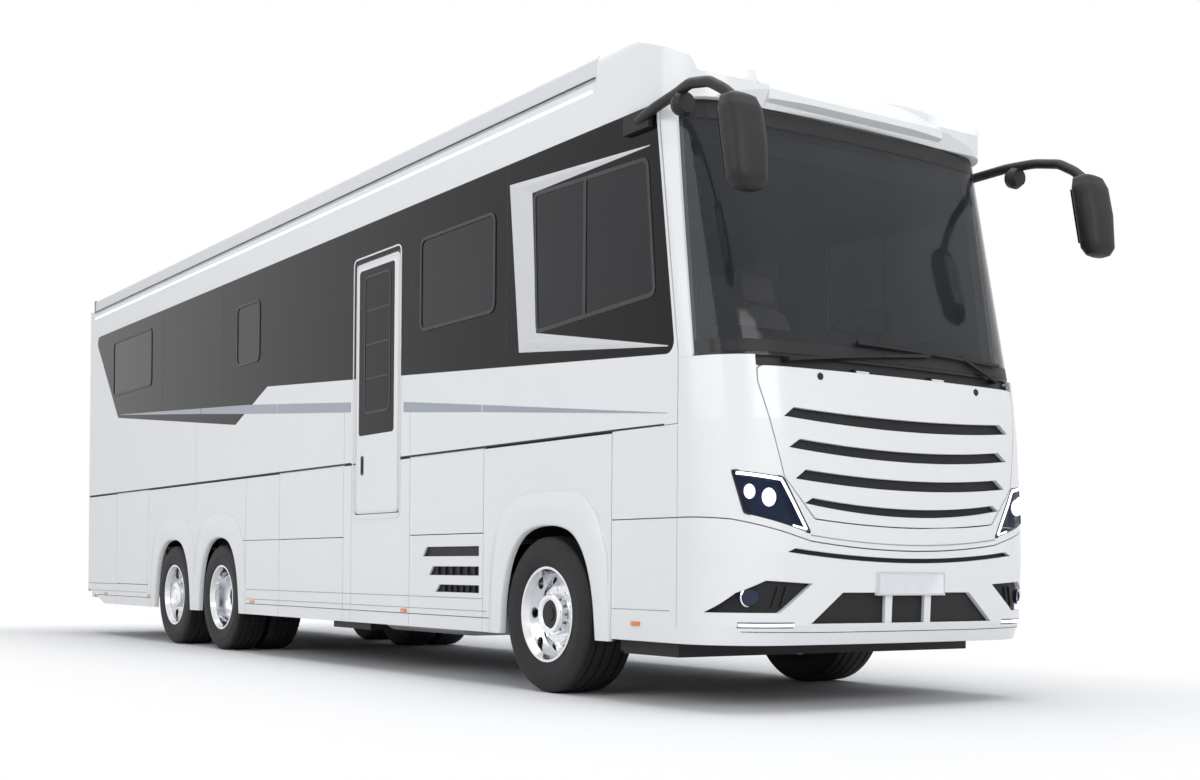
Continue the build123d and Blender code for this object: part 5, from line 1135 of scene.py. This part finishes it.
def studio_world():
    """White for every ray that sees it, softer and cooler for the light it sheds."""
    world = bpy.data.worlds.new("studio")
    bpy.context.scene.world = world
    world.use_nodes = True
    tree = world.node_tree
    tree.nodes.clear()
    output = tree.nodes.new("ShaderNodeOutputWorld")
    mixed = tree.nodes.new("ShaderNodeMixShader")
    soft = tree.nodes.new("ShaderNodeBackground")
    bright = tree.nodes.new("ShaderNodeBackground")
    soft.inputs["Color"].default_value = (0.93, 0.96, 1.0, 1)
    soft.inputs["Strength"].default_value = 0.50
    bright.inputs["Color"].default_value = (1, 1, 1, 1)
    bright.inputs["Strength"].default_value = 1.0
    tree.links.new(seeing_rays(tree), mixed.inputs["Fac"])
    tree.links.new(soft.outputs["Background"], mixed.inputs[1])
    tree.links.new(bright.outputs["Background"], mixed.inputs[2])
    tree.links.new(mixed.outputs["Shader"], output.inputs["Surface"])


studio_world()


def softbox(name, place, target, size, power):
    """A rectangular lamp at a place, which faces its target."""
    lamp = bpy.data.lights.new(name, "AREA")
    lamp.shape = "RECTANGLE"
    lamp.size, lamp.size_y = size
    lamp.energy = power
    holder = bpy.data.objects.new(name, lamp)
    bpy.context.scene.collection.objects.link(holder)
    direction = Vector(target) - Vector(place)
    holder.matrix_world = (Matrix.Translation(place)
                           @ direction.to_track_quat("-Z", "Y").to_matrix().to_4x4())


softbox("top_box", (0, -1, 12), (0, 0, 0), (10, 18), 900)
softbox("side_box", (-14, -4, 7), (0, 0, 1.5), (14, 6), 500)
softbox("front_box", (-2, -18, 7), (0, -5, 1.5), (10, 5), 620)


# Camera: low, ahead of the front wheel, with its view shifted up so that uprights stay upright
YAW, PITCH, ROLL = math.radians(34.21), math.radians(0.42), math.radians(0.45)
CAMERA_PLACE = (-6.32, at(-8.13), 0.77)
FOCAL_LENGTH, SENSOR_WIDTH, SHIFT_UP = 45.72, 36.0, 0.141


def add_camera():
    """A camera whose axes are the vehicle's, turned by the yaw, then the pitch, then the roll."""
    ahead = Vector((math.sin(YAW) * math.cos(PITCH), math.cos(YAW) * math.cos(PITCH), math.sin(PITCH)))
    across = Vector((math.cos(YAW), -math.sin(YAW), 0.0))
    upward = across.cross(ahead)
    rolled_across = math.cos(ROLL) * across + math.sin(ROLL) * upward
    rolled_up = -math.sin(ROLL) * across + math.cos(ROLL) * upward
    lens = bpy.data.cameras.new("camera")
    lens.sensor_fit = "HORIZONTAL"
    lens.sensor_width = SENSOR_WIDTH
    lens.lens = FOCAL_LENGTH
    lens.shift_y = SHIFT_UP
    lens.clip_end = 200.0
    camera = bpy.data.objects.new("camera", lens)
    bpy.context.scene.collection.objects.link(camera)
    pose = Matrix((rolled_across, rolled_up, -ahead)).transposed().to_4x4()
    pose.translation = Vector(CAMERA_PLACE)
    camera.matrix_world = pose
    bpy.context.scene.camera = camera


add_camera()
bpy.context.scene.view_settings.view_transform = "Standard"
